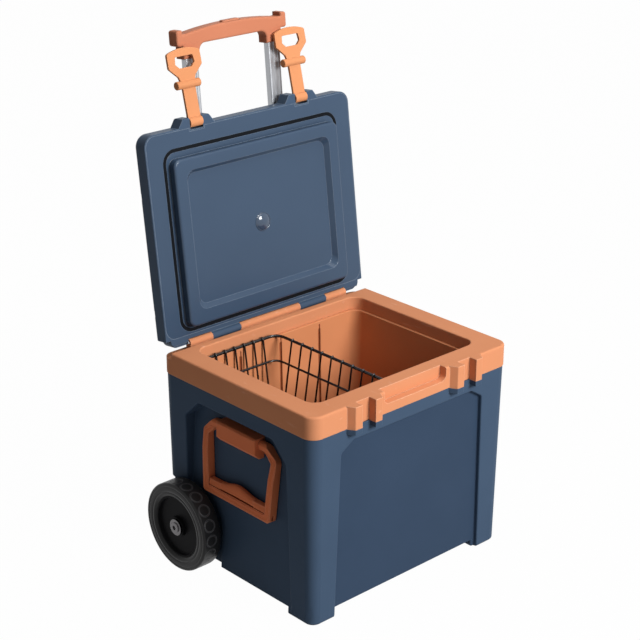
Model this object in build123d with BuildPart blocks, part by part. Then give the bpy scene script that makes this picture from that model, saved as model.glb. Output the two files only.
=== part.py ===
from build123d import *
from math import atan, cos, degrees, radians, sin, tan
import os

os.makedirs("parts", exist_ok=True)

# A wheeled hard cooler: a tapered foam-filled body with a moulded tub and collar,
# a hinged lid with two rubber latches, two swinging side handles, two wheels,
# a three-stage pulling handle and a wire basket. Lengths are millimetres.
# X runs across the front, Y from the front to the back, Z up.
# The forms are drawn about the middle of the body and are moved once, when written.

# Body and its walls
collar_low = 385.0
rim_top = 430.0
under_level = 16.0
shell_half_x = 258.0
shell_half_y = 214.0
shell_corner = 25.0
shell_draft = 0.85
shell_wall = 3.5


foot_round = 6.0

# Recess in the front wall
front_recess_depth = 9.0
front_recess_drop = 27.0
front_post = 63.0
front_recess_flare = 9.0
front_recess_top = collar_low - front_recess_drop

front_recess_low_half = shell_half_x - front_post
front_recess_top_half = front_recess_low_half - front_recess_flare
front_recess_cut_x = 30.0
front_recess_cut_z = 19.0

# Recess in each side wall, with a floor that slopes outwards as it goes down
side_recess_drop = 33.0
side_recess_shoulder_drop = 38.0
side_post_back = 63.0
side_post_front = 65.0
side_recess_flare_back = 4.0
side_recess_flare_front = 8.0
side_recess_cut_back = 40.0
side_recess_cut_front = 36.0
side_recess_top = collar_low - side_recess_drop
side_recess_shoulder = side_recess_top - side_recess_shoulder_drop


side_recess_back_low = shell_half_y - side_post_back
side_recess_back_shoulder = side_recess_back_low - side_recess_flare_back
side_recess_back_top = side_recess_back_shoulder - side_recess_cut_back


side_recess_front_low = side_post_front - shell_half_y
side_recess_front_shoulder = side_recess_front_low + side_recess_flare_front
side_recess_front_top = side_recess_front_shoulder + side_recess_cut_front
side_floor_low = 6.5
side_floor_top = 28.5
side_floor_low_x = shell_half_x - side_floor_low
side_floor_top_x = shell_half_x - side_floor_top

recess_round = 2.5
recess_corner = 8.0
foot_step = 9.0
foot_half_x = front_recess_low_half - foot_step
foot_back = side_recess_front_low + foot_step

# Notch beside each wheel
notch_depth = 19.0
notch_length = 157.0
notch_wall_x = shell_half_x - notch_depth
notch_front = shell_half_y - notch_length
notch_top = 163.0
notch_arch = 75.0
notch_edge = 1.5


# Collar and tub, one moulding
collar_overhang = 1.0
collar_half_x = shell_half_x + collar_overhang
collar_half_y = shell_half_y + collar_overhang
collar_corner = 25.0
collar_round = 4.0
collar_low_round = 1.5
skirt = 4.0
deck = 5.0
rim_side = 46.0
rim_front = 47.0
mouth_half_x = collar_half_x - rim_side
mouth_half_y = collar_half_y - rim_front
mouth_corner = 25.0
mouth_round = 2.5
ledge_drop = 27.0
ledge_width = 6.0
basket_ledge = rim_top - ledge_drop
tub_half_x = mouth_half_x - ledge_width
tub_half_y = mouth_half_y - ledge_width
tub_corner = 20.0
tub_draft = 1.28
tub_floor = 46.0
tub_floor_round = 9.0
tub_wall = 4.5
divider_slot_width = 4.5
divider_slot_depth = 2.5
divider_slot_top = basket_ledge - ledge_width
divider_slot_x = 105.0

# Lowered ledge behind the mouth, for the hinge
hinge_ledge_drop = 13.0
hinge_ledge_width = 31.0
hinge_ledge = rim_top - hinge_ledge_drop
hinge_ledge_front = collar_half_y - hinge_ledge_width

# Finger notch in the front of the collar
grip_notch_half = 81.0
grip_notch_depth = 26.0
grip_notch_reach = 16.0
grip_notch_floor = rim_top - grip_notch_depth
grip_notch_back = grip_notch_reach - collar_half_y
grip_notch_corner = 12.0

# Keepers that the latches hook under
keeper_x = 133.0
keeper_base_half = 42.0
keeper_tip_half = 33.5
keeper_proud = 14.0
keeper_root = 3.0
keeper_tip_y = -collar_half_y - keeper_proud
keeper_root_y = keeper_root - collar_half_y
keeper_slot_half = 16.5
keeper_slot_y = skirt - collar_half_y
keeper_block_depth = 10.0
keeper_block_low = collar_low - keeper_block_depth
keeper_round = 2.0

# Lid hinge
hinge_inset = 18.0
hinge_rise = 2.6
hinge_y = collar_half_y - hinge_inset
hinge_z = rim_top + hinge_rise
knuckle_radius = 8.2
knuckle_relief = 1.0
knuckle_gap = 0.5
knuckle_ends = (78.5, 150.0, 206.0)
knuckle_web_half = 7.0
hinge_pin_radius = 3.0
running_gap = 0.1
lid_lean = 7.1

# Lid, drawn closed about the hinge axis: X across, Y back, Z up
lid_half_x = collar_half_x
lid_overhang = 1.4
lid_front = -(hinge_y + collar_half_y + lid_overhang)
lid_rear = 2.4
lid_inner = -1.6
lid_outer = 30.5
lid_front_corner = 24.0
lid_rear_inset = 11.5
lid_rear_half_x = lid_half_x - lid_rear_inset
lid_rear_step = -14.6
lid_rear_corner = 15.0

lid_top_round = 7.0
lid_face_round = 1.5
lid_wall = 3.0
lid_rear_strip = 17.0
tie_groove_rear = 70.4
tie_groove_front = 116.4
tie_groove_y = (lid_rear - tie_groove_rear, lid_front + tie_groove_front)
tie_groove_top = 20.0
tie_groove_low = 11.0
tie_groove_depth = 5.0

# Lid lining, its plug and the seal
lining_plate = 3.2
plug_gap = 5.0
plug_border = 26.0
plug_border_front = 26.5
plug_half_x = mouth_half_x - plug_gap
plug_half_y = mouth_half_y - plug_gap
plug_middle = -hinge_y
plug_depth = 18.0
plug_corner = 14.0
plug_round = 5.0
panel_half_x = plug_half_x - plug_border
panel_half_y = plug_half_y - plug_border_front
panel_shift = 2.5
panel_middle = plug_middle - panel_shift
panel_depth = 10.0
panel_slope = 8.0
panel_corner = 18.0
seal_side = 8.0
seal_ahead = 14.0
seal_behind = 7.4
seal_half_x = mouth_half_x + seal_side
seal_front = -(hinge_y + mouth_half_y + seal_ahead)
seal_rear = mouth_half_y + seal_behind - hinge_y
seal_corner = 28.0
seal_width = 7.0
seal_groove = 2.0
seal_proud = 0.7
seal_round = 1.2
port_radius = 19.0
port_thickness = 2.2
port_round = 1.5
port_dish_radius = 13.0
port_dish_depth = 1.0

# Lugs on the lid and the latches that hang from them
lug_base_half = 43.0
lug_tip_half = 31.5
lug_proud = 16.0
lug_top = 24.0
lug_slot_half = 15.5
lug_slot_depth = 6.4
lug_slot_back = lid_front + lug_slot_depth
lug_round = 3.0
latch_pin_ahead = 6.2
latch_pin_y = lid_front - latch_pin_ahead
latch_pin_z = 4.4
latch_pin_radius = 3.0
latch_pin_half = 34.0
latch_lean = 7.0
latch_roll_radius = 9.5
latch_strap_half = 14.8
latch_thickness = 6.5
latch_bar_drop = 71.0
latch_bar_radius = 8.0
latch_bar_half = 27.5
latch_neck_drop = 86.0
latch_neck_half = 20.0
latch_shoulder_drop = 104.0
latch_shoulder_half = 39.5
latch_end_drop = 131.5
latch_end_half = 39.0
latch_tip_drop = 139.0
latch_hole_top_drop = 102.0
latch_hole_top_half = 14.3
latch_hole_mid_drop = 110.0
latch_hole_mid_half = 23.0
latch_hole_low_drop = 124.0
latch_hole_low_half = 21.0
latch_corner = 5.0
latch_hole_corner = 2.5
latch_edge = 1.5

# Wheels, drawn about their own axle, with the inner face at zero
wheel_x = shell_half_x
wheel_inset = 80.0
wheel_y = shell_half_y - wheel_inset
wheel_radius = 90.0
wheel_width = 42.0
tyre_shoulder = 5.0
tyre_seat_radius = 62.0
tyre_bevel = 4.0
hub_rim = 5.0
hub_web_in = 27.0
hub_web_out = 32.0
hub_boss_radius = 21.0
hub_boss_end = 40.0
hub_rib_count = 6
hub_rib_width = 5.0
hub_rib_in = 6.0
bush_radius = 12.0
bush_flange = 15.0
bush_flange_width = 1.5
axle_radius = 8.0
bolt_flange_radius = 16.5
bolt_flange_width = 2.0
bolt_head_radius = 10.5
bolt_head_width = 3.0
bolt_socket_radius = 5.0
bolt_socket_depth = 3.5
wheel_end_gap = 0.4

# Farther out than every piece, for cuts that run right through
side_reach = wheel_x + wheel_width + shell_half_y

# Bracket that carries each stub axle
mount_plate_half = 32.0
mount_plate = 4.0
mount_corner = 8.0
mount_boss_radius = 18.0
mount_foot_radius = 24.0
mount_screw_pitch = 46.0
screw_radius = 2.5
screw_head_radius = 5.0
screw_head = 2.4
screw_bite = 2.5
screw_socket_radius = 2.2
screw_socket_depth = 1.2

# Side handles
cover_half_y = 55.5
cover_low_in = 12.0
cover_rise = 13.0
cover_top_drop = 3.0
cover_face_drop = 18.0
cover_drop = 30.0






cover_round = 4.0
handle_pivot_in = 17.5
handle_pivot_drop = 32.0
handle_pivot_x = shell_half_x - handle_pivot_in
handle_pivot_z = side_recess_top - handle_pivot_drop
cover_front_x = shell_half_x
cover_low_x = shell_half_x - cover_low_in
cover_top = handle_pivot_z + cover_rise
cover_front_top = cover_top - cover_top_drop
cover_front_low = handle_pivot_z - cover_face_drop
cover_low = handle_pivot_z - cover_drop
handle_pin_radius = 3.0
handle_pin_half = 67.0
frame_low = -146.0
frame_bar_top = -131.0
frame_low_half = 96.0
frame_elbow_half = 105.0
frame_elbow_drop = -20.0
frame_eye_radius = 8.0
frame_eye_end = 74.0
frame_eye_start = 56.0
frame_inner_low_half = 81.0
frame_inner_elbow_half = 90.0
frame_inner_elbow_drop = -27.0
frame_inner_eye = 69.0
frame_back = -8.0
frame_front = 9.0
frame_elbow_front = 4.5
frame_elbow_level = -16.0
frame_taper_level = -60.0
frame_corner = 8.0
frame_bend = 14.0
frame_inner_corner = 4.0
frame_slot_length = 11.0
frame_slot_width = 5.0
frame_slot_depth = 6.0
frame_slot_level = -136.0
grip_half = 80.5
grip_pad_half = 46.0
grip_end_level = -117.0
grip_step_level = -114.5
grip_crown_level = -106.0
grip_back = -6.5
grip_front = 8.0
grip_edge = 2.5
grip_groove_depth = 1.2
grip_groove_width = 2.0
grip_groove_count = 3

# Pulling handle, drawn upright about the rails, then leant back
rail_lean = 5.17
rail_stand = 38.0
rail_y = collar_half_y + rail_stand
rail_x = 103.0
guide_half_x = 18.6
guide_half_y = 11.35
guide_wall = 1.5
guide_low = -336.0
guide_high = 10.0
guide_corner = 6.0
mid_half_x = 16.7
mid_half_y = 9.45
mid_wall = 1.4
mid_low = -60.0
mid_high = 276.0
mid_corner = 4.6
top_half_x = 15.0
top_half_y = 7.7
top_wall = 1.3
top_low = 216.0
top_corner = 3.0
flute_width = 5.0
flute_depth = 0.7
collar_bush_high = 5.0
collar_bush_half_x = 22.0
collar_bush_half_y = 14.5

handle_bar_depth = 31.1
handle_dip = 8.4
handle_horn_drop = 1.0
handle_collar_depth = 25.1
handle_collar_half = 19.5
handle_shoulder = 14.0
handle_horn_width = 14.0
handle_dip_gap = 8.0
handle_bar_top = 585.4
handle_dip_top = handle_bar_top - handle_dip


handle_end_x = rail_x + handle_collar_half + handle_shoulder
handle_horn_x = handle_end_x - handle_horn_width
handle_dip_x = handle_horn_x - handle_dip_gap
handle_horn_top = handle_bar_top - handle_horn_drop
handle_bar_low = handle_bar_top - handle_bar_depth
handle_collar_low = handle_bar_low - handle_collar_depth
handle_collar_in = rail_x - handle_collar_half
handle_collar_out = rail_x + handle_collar_half
handle_front = -10.0
handle_back = 17.0
handle_fillet = 14.0
handle_horn_fillet = 5.0
handle_edge = 3.5
tube_socket = 30.0
rail_gap = 0.3
bush_edge = 1.0
button_edge = 1.5

# Release button in the middle of the pulling handle
button_half_x = 21.0
button_half_y = 7.0
button_proud = 2.5
button_travel = 4.0
button_corner = 5.0
button_gap = 0.4
bridge_end = 4.0
bridge_drop = 19.4
bridge_depth = 5.0
bridge_half_x = rail_x + bridge_end
bridge_low = handle_bar_top - bridge_drop
bridge_high = bridge_low + bridge_depth
bridge_half_y = 4.0
rod_radius = 2.5
rod_rise = 6.0
rod_low = top_low + rod_rise
rod_room = 0.8


# Brackets that hold the guides on the back wall
bracket_shoulder = 29.0
upper_bracket_rise = 3.0
upper_bracket_reach = 15.0
lower_bracket_reach = 13.0
bracket_half_x = rail_x + bracket_shoulder
upper_bracket_low = collar_low + upper_bracket_rise
upper_bracket_high = hinge_ledge
upper_bracket_back = rail_y + upper_bracket_reach
lower_bracket_low = 78.0
lower_bracket_high = 118.0
lower_bracket_back = rail_y - lower_bracket_reach
bracket_corner = 10.0
bracket_window_half = 66.0
bracket_wall = 5.0
bracket_screw_x = 50.0

# Drain through the back wall
drain_z = 58.0
drain_bore = 8.0
drain_tube = 11.0
drain_flange = 16.0
drain_flange_depth = 3.0
drain_plug_flange = 15.0
drain_plug_flange_depth = 4.0
drain_wing_half = 11.0
drain_wing_thickness = 5.0
drain_wing_depth = 7.0
drain_plug_length = 30.0
drain_seal_radius = 1.2
drain_seal_inset = 8.0
drain_stem_gap = 0.4

# Wire basket

basket_rim_in = 4.3
basket_end_in = 4.0
basket_seat_gap = 0.25
basket_left = basket_rim_in - mouth_half_x
basket_right = -8.0
basket_half_y = mouth_half_y - basket_end_in
basket_corner = 16.0
basket_rim_radius = 2.75
basket_top_z = basket_ledge + basket_rim_radius + basket_seat_gap
basket_second_radius = 2.0
basket_second_drop = 57.0
basket_wire_radius = 1.6
basket_floor_z = 258.0
basket_taper = 24.0
basket_weld = 0.25
basket_cross_wires = 9
basket_cross_margin = 45.6
basket_long_wires = 6
basket_long_margin = 36.3
wire_sides = 8

# The middle of the outer box on the floor is the origin, this far behind the body's middle
stance_y = 45.5

side_floor_slope = degrees(atan((side_floor_low_x - side_floor_top_x) / side_recess_top))


def block(low, high):
    """Plain block between two opposite corners."""
    with BuildPart() as form:
        with BuildSketch(Plane.XY.offset(low[2])):
            with Locations(((low[0] + high[0]) / 2, (low[1] + high[1]) / 2)):
                Rectangle(high[0] - low[0], high[1] - low[1])
        extrude(amount=high[2] - low[2])
    return form.part


def rod(start, end, radius):
    """Round rod from one point to another."""
    run = Vector(*end) - Vector(*start)
    with BuildPart() as form:
        with BuildSketch(Plane(origin=start, z_dir=run.normalized())):
            Circle(radius)
        extrude(amount=run.length)
    return form.part


def rounded_rod(start, end, radius, edge):
    """Round rod with rounded ends."""
    with BuildPart() as form:
        add(rod(start, end, radius))
        fillet(form.edges().filter_by(GeomType.CIRCLE), edge)
    return form.part


def both_sides(form):
    """A form and its mirror image across the middle plane."""
    with BuildPart() as pair:
        add(form)
        mirror(about=Plane.YZ)
    return pair.part


def other_side(form):
    """The mirror image alone."""
    with BuildPart() as image:
        add(form)
        mirror(about=Plane.YZ, mode=Mode.REPLACE)
    return image.part


def keep(piece, name, pose=Location()):
    """Name a piece, put it where it rests and write it."""
    standing = Location((0, -stance_y, 0)) * pose
    piece.part.locate(standing * piece.part.location)
    piece.part.label = name
    export_step(piece.part, f"parts/{name}.step")


# Rooms that the body's mouldings share, each grown outwards by a wall
def body_form(inset, low):
    """Drafted outside of the body from the collar down to a level, moved inwards."""
    top = Plane(origin=(0, 0, collar_low), x_dir=(1, 0, 0), z_dir=(0, 0, -1))
    with BuildPart() as form:
        with BuildSketch(top):
            RectangleRounded(2 * (shell_half_x - inset), 2 * (shell_half_y - inset),
                             shell_corner - inset)
        extrude(amount=collar_low - low, taper=shell_draft)
    return form.part


def front_recess(grow):
    """Shallow recess in the front wall, parallel to the drafted wall."""
    fall = collar_low * tan(radians(shell_draft))
    with BuildPart() as room:
        with BuildSketch(Plane.XZ) as outline:
            with BuildLine():
                Polyline((-front_recess_low_half, 0),
                         (-front_recess_top_half, front_recess_top - front_recess_cut_z),
                         (-front_recess_top_half + front_recess_cut_x, front_recess_top),
                         (front_recess_top_half - front_recess_cut_x, front_recess_top),
                         (front_recess_top_half, front_recess_top - front_recess_cut_z),
                         (front_recess_low_half, 0), close=True)
            make_face()
            fillet(outline.vertices().group_by(Axis.Y)[-1] + outline.vertices().group_by(Axis.Y)[-2],
                   recess_corner)
            if grow:
                offset(amount=grow, kind=Kind.INTERSECTION)
        extrude(amount=side_reach)
        with BuildSketch(Plane.YZ):
            with BuildLine():
                Polyline((-shell_half_y + fall + front_recess_depth + grow, -shell_wall),
                         (-shell_half_y + front_recess_depth + grow, collar_low),
                         (-side_reach, collar_low), (-side_reach, -shell_wall), close=True)
            make_face()
        extrude(amount=side_reach, both=True, mode=Mode.INTERSECT)
    return room.part


def side_recess(grow):
    """Deep recess in the right wall; its floor slopes outwards as it goes down."""
    with BuildPart() as room:
        with BuildSketch(Plane.YZ) as outline:
            with BuildLine():
                Polyline((side_recess_back_low, 0),
                         (side_recess_back_shoulder, side_recess_shoulder),
                         (side_recess_back_top, side_recess_top),
                         (side_recess_front_top, side_recess_top),
                         (side_recess_front_shoulder, side_recess_shoulder),
                         (side_recess_front_low, 0), close=True)
            make_face()
            fillet(outline.vertices().group_by(Axis.Y)[-1] + outline.vertices().group_by(Axis.Y)[-2],
                   recess_corner)
            if grow:
                offset(amount=grow, kind=Kind.INTERSECTION)
        extrude(amount=side_reach)
        with BuildSketch(Plane.XZ):
            with BuildLine():
                Polyline((side_floor_low_x - grow, 0), (side_floor_top_x - grow, side_recess_top),
                         (side_floor_top_x - grow, collar_low), (side_reach, collar_low),
                         (side_reach, -shell_wall), (side_floor_low_x - grow, -shell_wall),
                         close=True)
            make_face()
        extrude(amount=side_reach, both=True, mode=Mode.INTERSECT)
    return room.part


def wheel_notch(grow):
    """Notch beside the right wheel, arched in front and open behind and below."""
    with BuildPart() as room:
        with BuildSketch(Plane.YZ.offset(notch_wall_x - grow)) as outline:
            with BuildLine():
                Polyline((notch_front - grow, 0), (notch_front - grow, notch_top + grow),
                         (side_reach, notch_top + grow), (side_reach, 0), close=True)
            make_face()
            arch = outline.vertices().group_by(Axis.Y)[-1].sort_by(Axis.X)[0]
            fillet(arch, notch_arch + grow)
        extrude(amount=side_reach - notch_wall_x)
    return room.part


def tub_room(grow):
    """Drafted inside of the tub with the wider mouth above the basket ledge."""
    ledge = Plane(origin=(0, 0, basket_ledge), x_dir=(1, 0, 0), z_dir=(0, 0, -1))
    with BuildPart() as room:
        with BuildSketch(ledge):
            RectangleRounded(2 * (tub_half_x + grow), 2 * (tub_half_y + grow), tub_corner + grow)
        extrude(amount=basket_ledge - tub_floor + grow, taper=tub_draft)
        fillet(room.faces().sort_by(Axis.Z)[0].edges(), tub_floor_round + grow)
        with BuildSketch(Plane.XY.offset(basket_ledge - grow)):
            RectangleRounded(2 * (mouth_half_x + grow), 2 * (mouth_half_y + grow),
                             mouth_corner + grow)
        extrude(amount=rim_top - basket_ledge + grow)
    return room.part


def tub_outside():
    """Outside of the tub, up to the top of its flange."""
    with BuildPart() as form:
        add(tub_room(tub_wall))
        add(block((-side_reach, -side_reach, 0), (side_reach, side_reach, basket_ledge)),
            mode=Mode.INTERSECT)
    return form.part


def grip_notch(grow):
    """Finger notch in the front of the collar, open above."""
    with BuildPart() as room:
        with BuildSketch(Plane.XZ.offset(-grip_notch_back - grow)) as outline:
            with BuildLine():
                Polyline((-grip_notch_half - grow, grip_notch_floor - grow),
                         (grip_notch_half + grow, grip_notch_floor - grow),
                         (grip_notch_half + grow, rim_top + skirt),
                         (-grip_notch_half - grow, rim_top + skirt), close=True)
            make_face()
            fillet(outline.vertices().group_by(Axis.Y)[0], grip_notch_corner + grow)
        extrude(amount=side_reach + grip_notch_back)
    return room.part


def collar_hollow():
    """Hollow under the deck of the collar, solid behind the notch, keepers and ledge."""
    with BuildPart() as room:
        with BuildSketch(Plane.XY.offset(collar_low)):
            RectangleRounded(2 * (collar_half_x - skirt), 2 * (collar_half_y - skirt),
                             collar_corner - skirt)
        extrude(amount=rim_top - deck - collar_low)
        add(block((-side_reach, hinge_ledge_front - deck, hinge_ledge - deck),
                  (side_reach, side_reach, rim_top)), mode=Mode.SUBTRACT)
        add(grip_notch(skirt), mode=Mode.SUBTRACT)
        for x in (-keeper_x, keeper_x):
            add(block((x - keeper_slot_half - skirt, -side_reach, collar_low),
                      (x + keeper_slot_half + skirt, keeper_slot_y + skirt, rim_top)),
                mode=Mode.SUBTRACT)
    return room.part


def keeper(low, high, slot_y):
    """Both forked keepers between two levels, with the strap slot between the prongs."""
    with BuildPart() as forks:
        with BuildSketch(Plane.XY.offset(low)):
            for x in (-keeper_x, keeper_x):
                with BuildLine():
                    Polyline((x - keeper_base_half, keeper_root_y),
                             (x - keeper_base_half, -collar_half_y),
                             (x - keeper_tip_half, keeper_tip_y),
                             (x + keeper_tip_half, keeper_tip_y),
                             (x + keeper_base_half, -collar_half_y),
                             (x + keeper_base_half, keeper_root_y), close=True)
                make_face()
        extrude(amount=high - low)
        tips = forks.faces().group_by(Axis.Y)[0].edges().filter_by(Axis.Z)
        fillet(tips, keeper_round)
        for x in (-keeper_x, keeper_x):
            add(block((x - keeper_slot_half, -side_reach, low - skirt),
                      (x + keeper_slot_half, slot_y, high + skirt)), mode=Mode.SUBTRACT)
    return forks.part


def drain_hole(radius):
    """Bore through the back walls for the drain."""
    return rod((0, tub_half_y - drain_flange, drain_z), (0, side_reach, drain_z), radius)


def screws_at(spots, direction, bite):
    """Pan-head screws whose heads sit on the given spots, biting against the direction."""
    away = Vector(*direction)
    with BuildPart() as form:
        for spot in spots:
            seat = Vector(*spot)
            add(rod(tuple(seat), tuple(seat + away * screw_head), screw_head_radius))
            add(rod(tuple(seat - away * bite), tuple(seat), screw_radius))
            add(rod(tuple(seat + away * (screw_head - screw_socket_depth)),
                    tuple(seat + away * screw_head), screw_socket_radius), mode=Mode.SUBTRACT)
    return form.part


mount_screw_spots = [(notch_wall_x + mount_plate, wheel_y + a * mount_screw_pitch / 2,
                      wheel_radius + b * mount_screw_pitch / 2)
                     for a in (-1, 1) for b in (-1, 1)]


def rear_wall(level):
    """Where the back of the body is at a level."""
    return shell_half_y - (collar_low - level) * tan(radians(shell_draft))


lower_screw_z = (lower_bracket_low + lower_bracket_high) / 2
upper_screw_z = (upper_bracket_low + upper_bracket_high) / 2
bracket_screw_spots = [(side * bracket_screw_x, face + bracket_wall, level)
                       for side in (-1, 1)
                       for face, level in ((collar_half_y, upper_screw_z),
                                           (rear_wall(lower_screw_z), lower_screw_z))]


def bracket_screw_holes():
    """Holes that the bracket screws fill, through the brackets and into the body."""
    with BuildPart() as holes:
        for x, y, z in bracket_screw_spots:
            add(rod((x, y - bracket_wall - screw_bite, z), (x, y, z), screw_radius))
    return holes.part


def side_wall(level):
    """Where the side of the body is at a level."""
    return shell_half_x - (collar_low - level) * tan(radians(shell_draft))


def side_floor(level):
    """Where the floor of the side recess is at a level."""
    return side_floor_low_x - level * tan(radians(side_floor_slope))


def rounded_mouth(edges, outer, inner, along):
    """The new edges of a recess that lie in its wall's face, and those that lie in its floor."""
    near = shell_wall / 2
    raised = [edge for edge in edges if edge.center().Z > under_level + foot_step]
    place = [abs(edge.center().X if along else edge.center().Y) for edge in raised]
    mouth = [edge for edge, at in zip(raised, place) if abs(at - outer(edge.center().Z)) < near]
    floor = [edge for edge, at in zip(raised, place) if abs(at - inner(edge.center().Z)) < near]
    return floor, mouth


# Outer shell
with BuildPart() as outer_shell:
    add(body_form(0, under_level))
    with BuildPart(mode=Mode.PRIVATE) as feet:
        add(body_form(0, 0))
        add(both_sides(block((foot_half_x, -side_reach, 0), (side_reach, foot_back, under_level))),
            mode=Mode.INTERSECT)
        fillet(feet.edges().group_by(Axis.Z)[0], foot_round)
    add(feet.part)
    add(both_sides(side_recess(0)), mode=Mode.SUBTRACT)
    for chain in rounded_mouth(outer_shell.edges(Select.LAST), side_wall, side_floor, True):
        fillet(chain, recess_round)
    add(front_recess(0), mode=Mode.SUBTRACT)
    for chain in rounded_mouth(outer_shell.edges(Select.LAST), rear_wall,
                               lambda level: rear_wall(level) - front_recess_depth, False):
        fillet(chain, recess_round)
    add(keeper(keeper_block_low, collar_low, keeper_root_y))
    add(both_sides(wheel_notch(0)), mode=Mode.SUBTRACT)
    notch_mouth = outer_shell.edges(Select.LAST).filter_by(
        lambda edge: abs(edge.center().X) > notch_wall_x + notch_edge
        and edge.length > shell_wall and abs(edge.center().Y) < wheel_y)
    fillet(notch_mouth.filter_by(GeomType.ELLIPSE), notch_edge)
    with BuildPart(mode=Mode.PRIVATE) as shell_cavity:
        add(body_form(shell_wall, under_level + shell_wall))
        add(both_sides(side_recess(shell_wall)), mode=Mode.SUBTRACT)
        add(both_sides(wheel_notch(shell_wall)), mode=Mode.SUBTRACT)
        add(front_recess(shell_wall), mode=Mode.SUBTRACT)
    add(shell_cavity.part, mode=Mode.SUBTRACT)
    add(drain_hole(drain_tube), mode=Mode.SUBTRACT)
    for x, y, z in mount_screw_spots:
        bite = mount_plate + screw_bite
        add(both_sides(rod((x - bite, y, z), (x, y, z), screw_radius)), mode=Mode.SUBTRACT)
    add(bracket_screw_holes(), mode=Mode.SUBTRACT)
keep(outer_shell, "outer_shell")

# Collar round the mouth
with BuildPart() as rim_collar:
    with BuildSketch(Plane.XY.offset(collar_low)):
        RectangleRounded(2 * collar_half_x, 2 * collar_half_y, collar_corner)
    extrude(amount=rim_top - collar_low)
    fillet(rim_collar.edges().group_by(Axis.Z)[-1], collar_round)
    fillet(rim_collar.edges().group_by(Axis.Z)[0], collar_low_round)
    add(keeper(collar_low, rim_top, keeper_root_y))
    with BuildSketch(Plane.XY.offset(basket_ledge)):
        RectangleRounded(2 * mouth_half_x, 2 * mouth_half_y, mouth_corner)
    extrude(amount=rim_top - basket_ledge, mode=Mode.SUBTRACT)
    fillet(rim_collar.edges(Select.LAST).group_by(Axis.Z)[-1], mouth_round)
    add(block((-side_reach, hinge_ledge_front, hinge_ledge), (side_reach, side_reach, rim_top)),
        mode=Mode.SUBTRACT)
    for x in (-keeper_x, keeper_x):
        add(block((x - keeper_slot_half, -side_reach, collar_low),
                  (x + keeper_slot_half, keeper_slot_y, rim_top)), mode=Mode.SUBTRACT)
    add(grip_notch(0), mode=Mode.SUBTRACT)
    add(collar_hollow(), mode=Mode.SUBTRACT)
    # wall of the mouth, standing on the flange of the tub
    with BuildSketch(Plane.XY.offset(basket_ledge)):
        RectangleRounded(2 * (mouth_half_x + tub_wall), 2 * (mouth_half_y + tub_wall),
                         mouth_corner + tub_wall)
        RectangleRounded(2 * mouth_half_x, 2 * mouth_half_y, mouth_corner, mode=Mode.SUBTRACT)
    extrude(amount=rim_top - deck - basket_ledge)
    add(tub_outside(), mode=Mode.SUBTRACT)
    # hinge knuckles on webs that rise from the ledge
    middle, inside, outside = knuckle_ends
    for start, end in ((-outside, -inside), (-middle, middle), (inside, outside)):
        add(block((start, hinge_y - knuckle_web_half, hinge_ledge),
                  (end, hinge_y + knuckle_web_half, hinge_z)))
        add(rod((start, hinge_y, hinge_z), (end, hinge_y, hinge_z), knuckle_radius))
    add(rod((-side_reach, hinge_y, hinge_z), (side_reach, hinge_y, hinge_z), hinge_pin_radius),
        mode=Mode.SUBTRACT)
    add(bracket_screw_holes(), mode=Mode.SUBTRACT)
keep(rim_collar, "rim_collar")

# Tub, whose flange is the ledge that the basket hangs on
with BuildPart() as tub_liner:
    add(tub_outside())
    add(tub_room(0), mode=Mode.SUBTRACT)
    with BuildPart(mode=Mode.PRIVATE) as divider_slots:
        add(tub_room(divider_slot_depth))
        with BuildSketch(Plane.XY.offset(tub_floor)):
            for x in (-divider_slot_x, 0, divider_slot_x):
                with Locations((x, 0)):
                    Rectangle(divider_slot_width, 2 * side_reach)
        extrude(amount=divider_slot_top - tub_floor, mode=Mode.INTERSECT)
    add(divider_slots.part, mode=Mode.SUBTRACT)
    add(drain_hole(drain_tube), mode=Mode.SUBTRACT)
keep(tub_liner, "tub_liner")

with BuildPart() as insulation_foam:
    add(shell_cavity.part)
    add(collar_hollow())
    add(tub_room(tub_wall), mode=Mode.SUBTRACT)
    add(drain_hole(drain_tube), mode=Mode.SUBTRACT)
keep(insulation_foam, "insulation_foam")

with BuildPart() as hinge_pin:
    add(rod((-knuckle_ends[-1], hinge_y, hinge_z), (knuckle_ends[-1], hinge_y, hinge_z),
            hinge_pin_radius))
    chamfer(hinge_pin.edges().filter_by(GeomType.CIRCLE), hinge_pin_radius / 4)
keep(hinge_pin, "hinge_pin")

# Lid, drawn closed about the hinge axis and leant back past upright
lid_plane = Plane(origin=(0, hinge_y, hinge_z), x_dir=(1, 0, 0),
                  z_dir=(0, cos(radians(lid_lean)), -sin(radians(lid_lean))))
lid_pose = lid_plane.location
lid_middle = (lid_front + lid_rear) / 2


def lid_room(inset, low, high):
    """Room inside the lid's walls, ahead of the solid strip that carries the knuckles."""
    front = lid_front + inset
    back = -lid_rear_strip
    with BuildPart() as room:
        with BuildSketch(Plane.XY.offset(low)):
            with Locations((0, (front + back) / 2)):
                RectangleRounded(2 * (lid_half_x - inset), back - front, lid_front_corner - inset)
        extrude(amount=high - low)
    return room.part


def tie_grooves(grow):
    """Two grooves across the top of the lid for tie-down straps."""
    with BuildPart() as grooves:
        with BuildSketch(Plane.YZ):
            for y in tie_groove_y:
                with BuildLine():
                    Polyline((y - tie_groove_low / 2 - grow, lid_outer - tie_groove_depth - grow),
                             (y - tie_groove_top / 2 - grow, lid_outer),
                             (y - tie_groove_top / 2 - grow, lid_outer + lid_wall),
                             (y + tie_groove_top / 2 + grow, lid_outer + lid_wall),
                             (y + tie_groove_top / 2 + grow, lid_outer),
                             (y + tie_groove_low / 2 + grow, lid_outer - tie_groove_depth - grow),
                             close=True)
                make_face()
        extrude(amount=side_reach, both=True)
    return grooves.part


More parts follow.
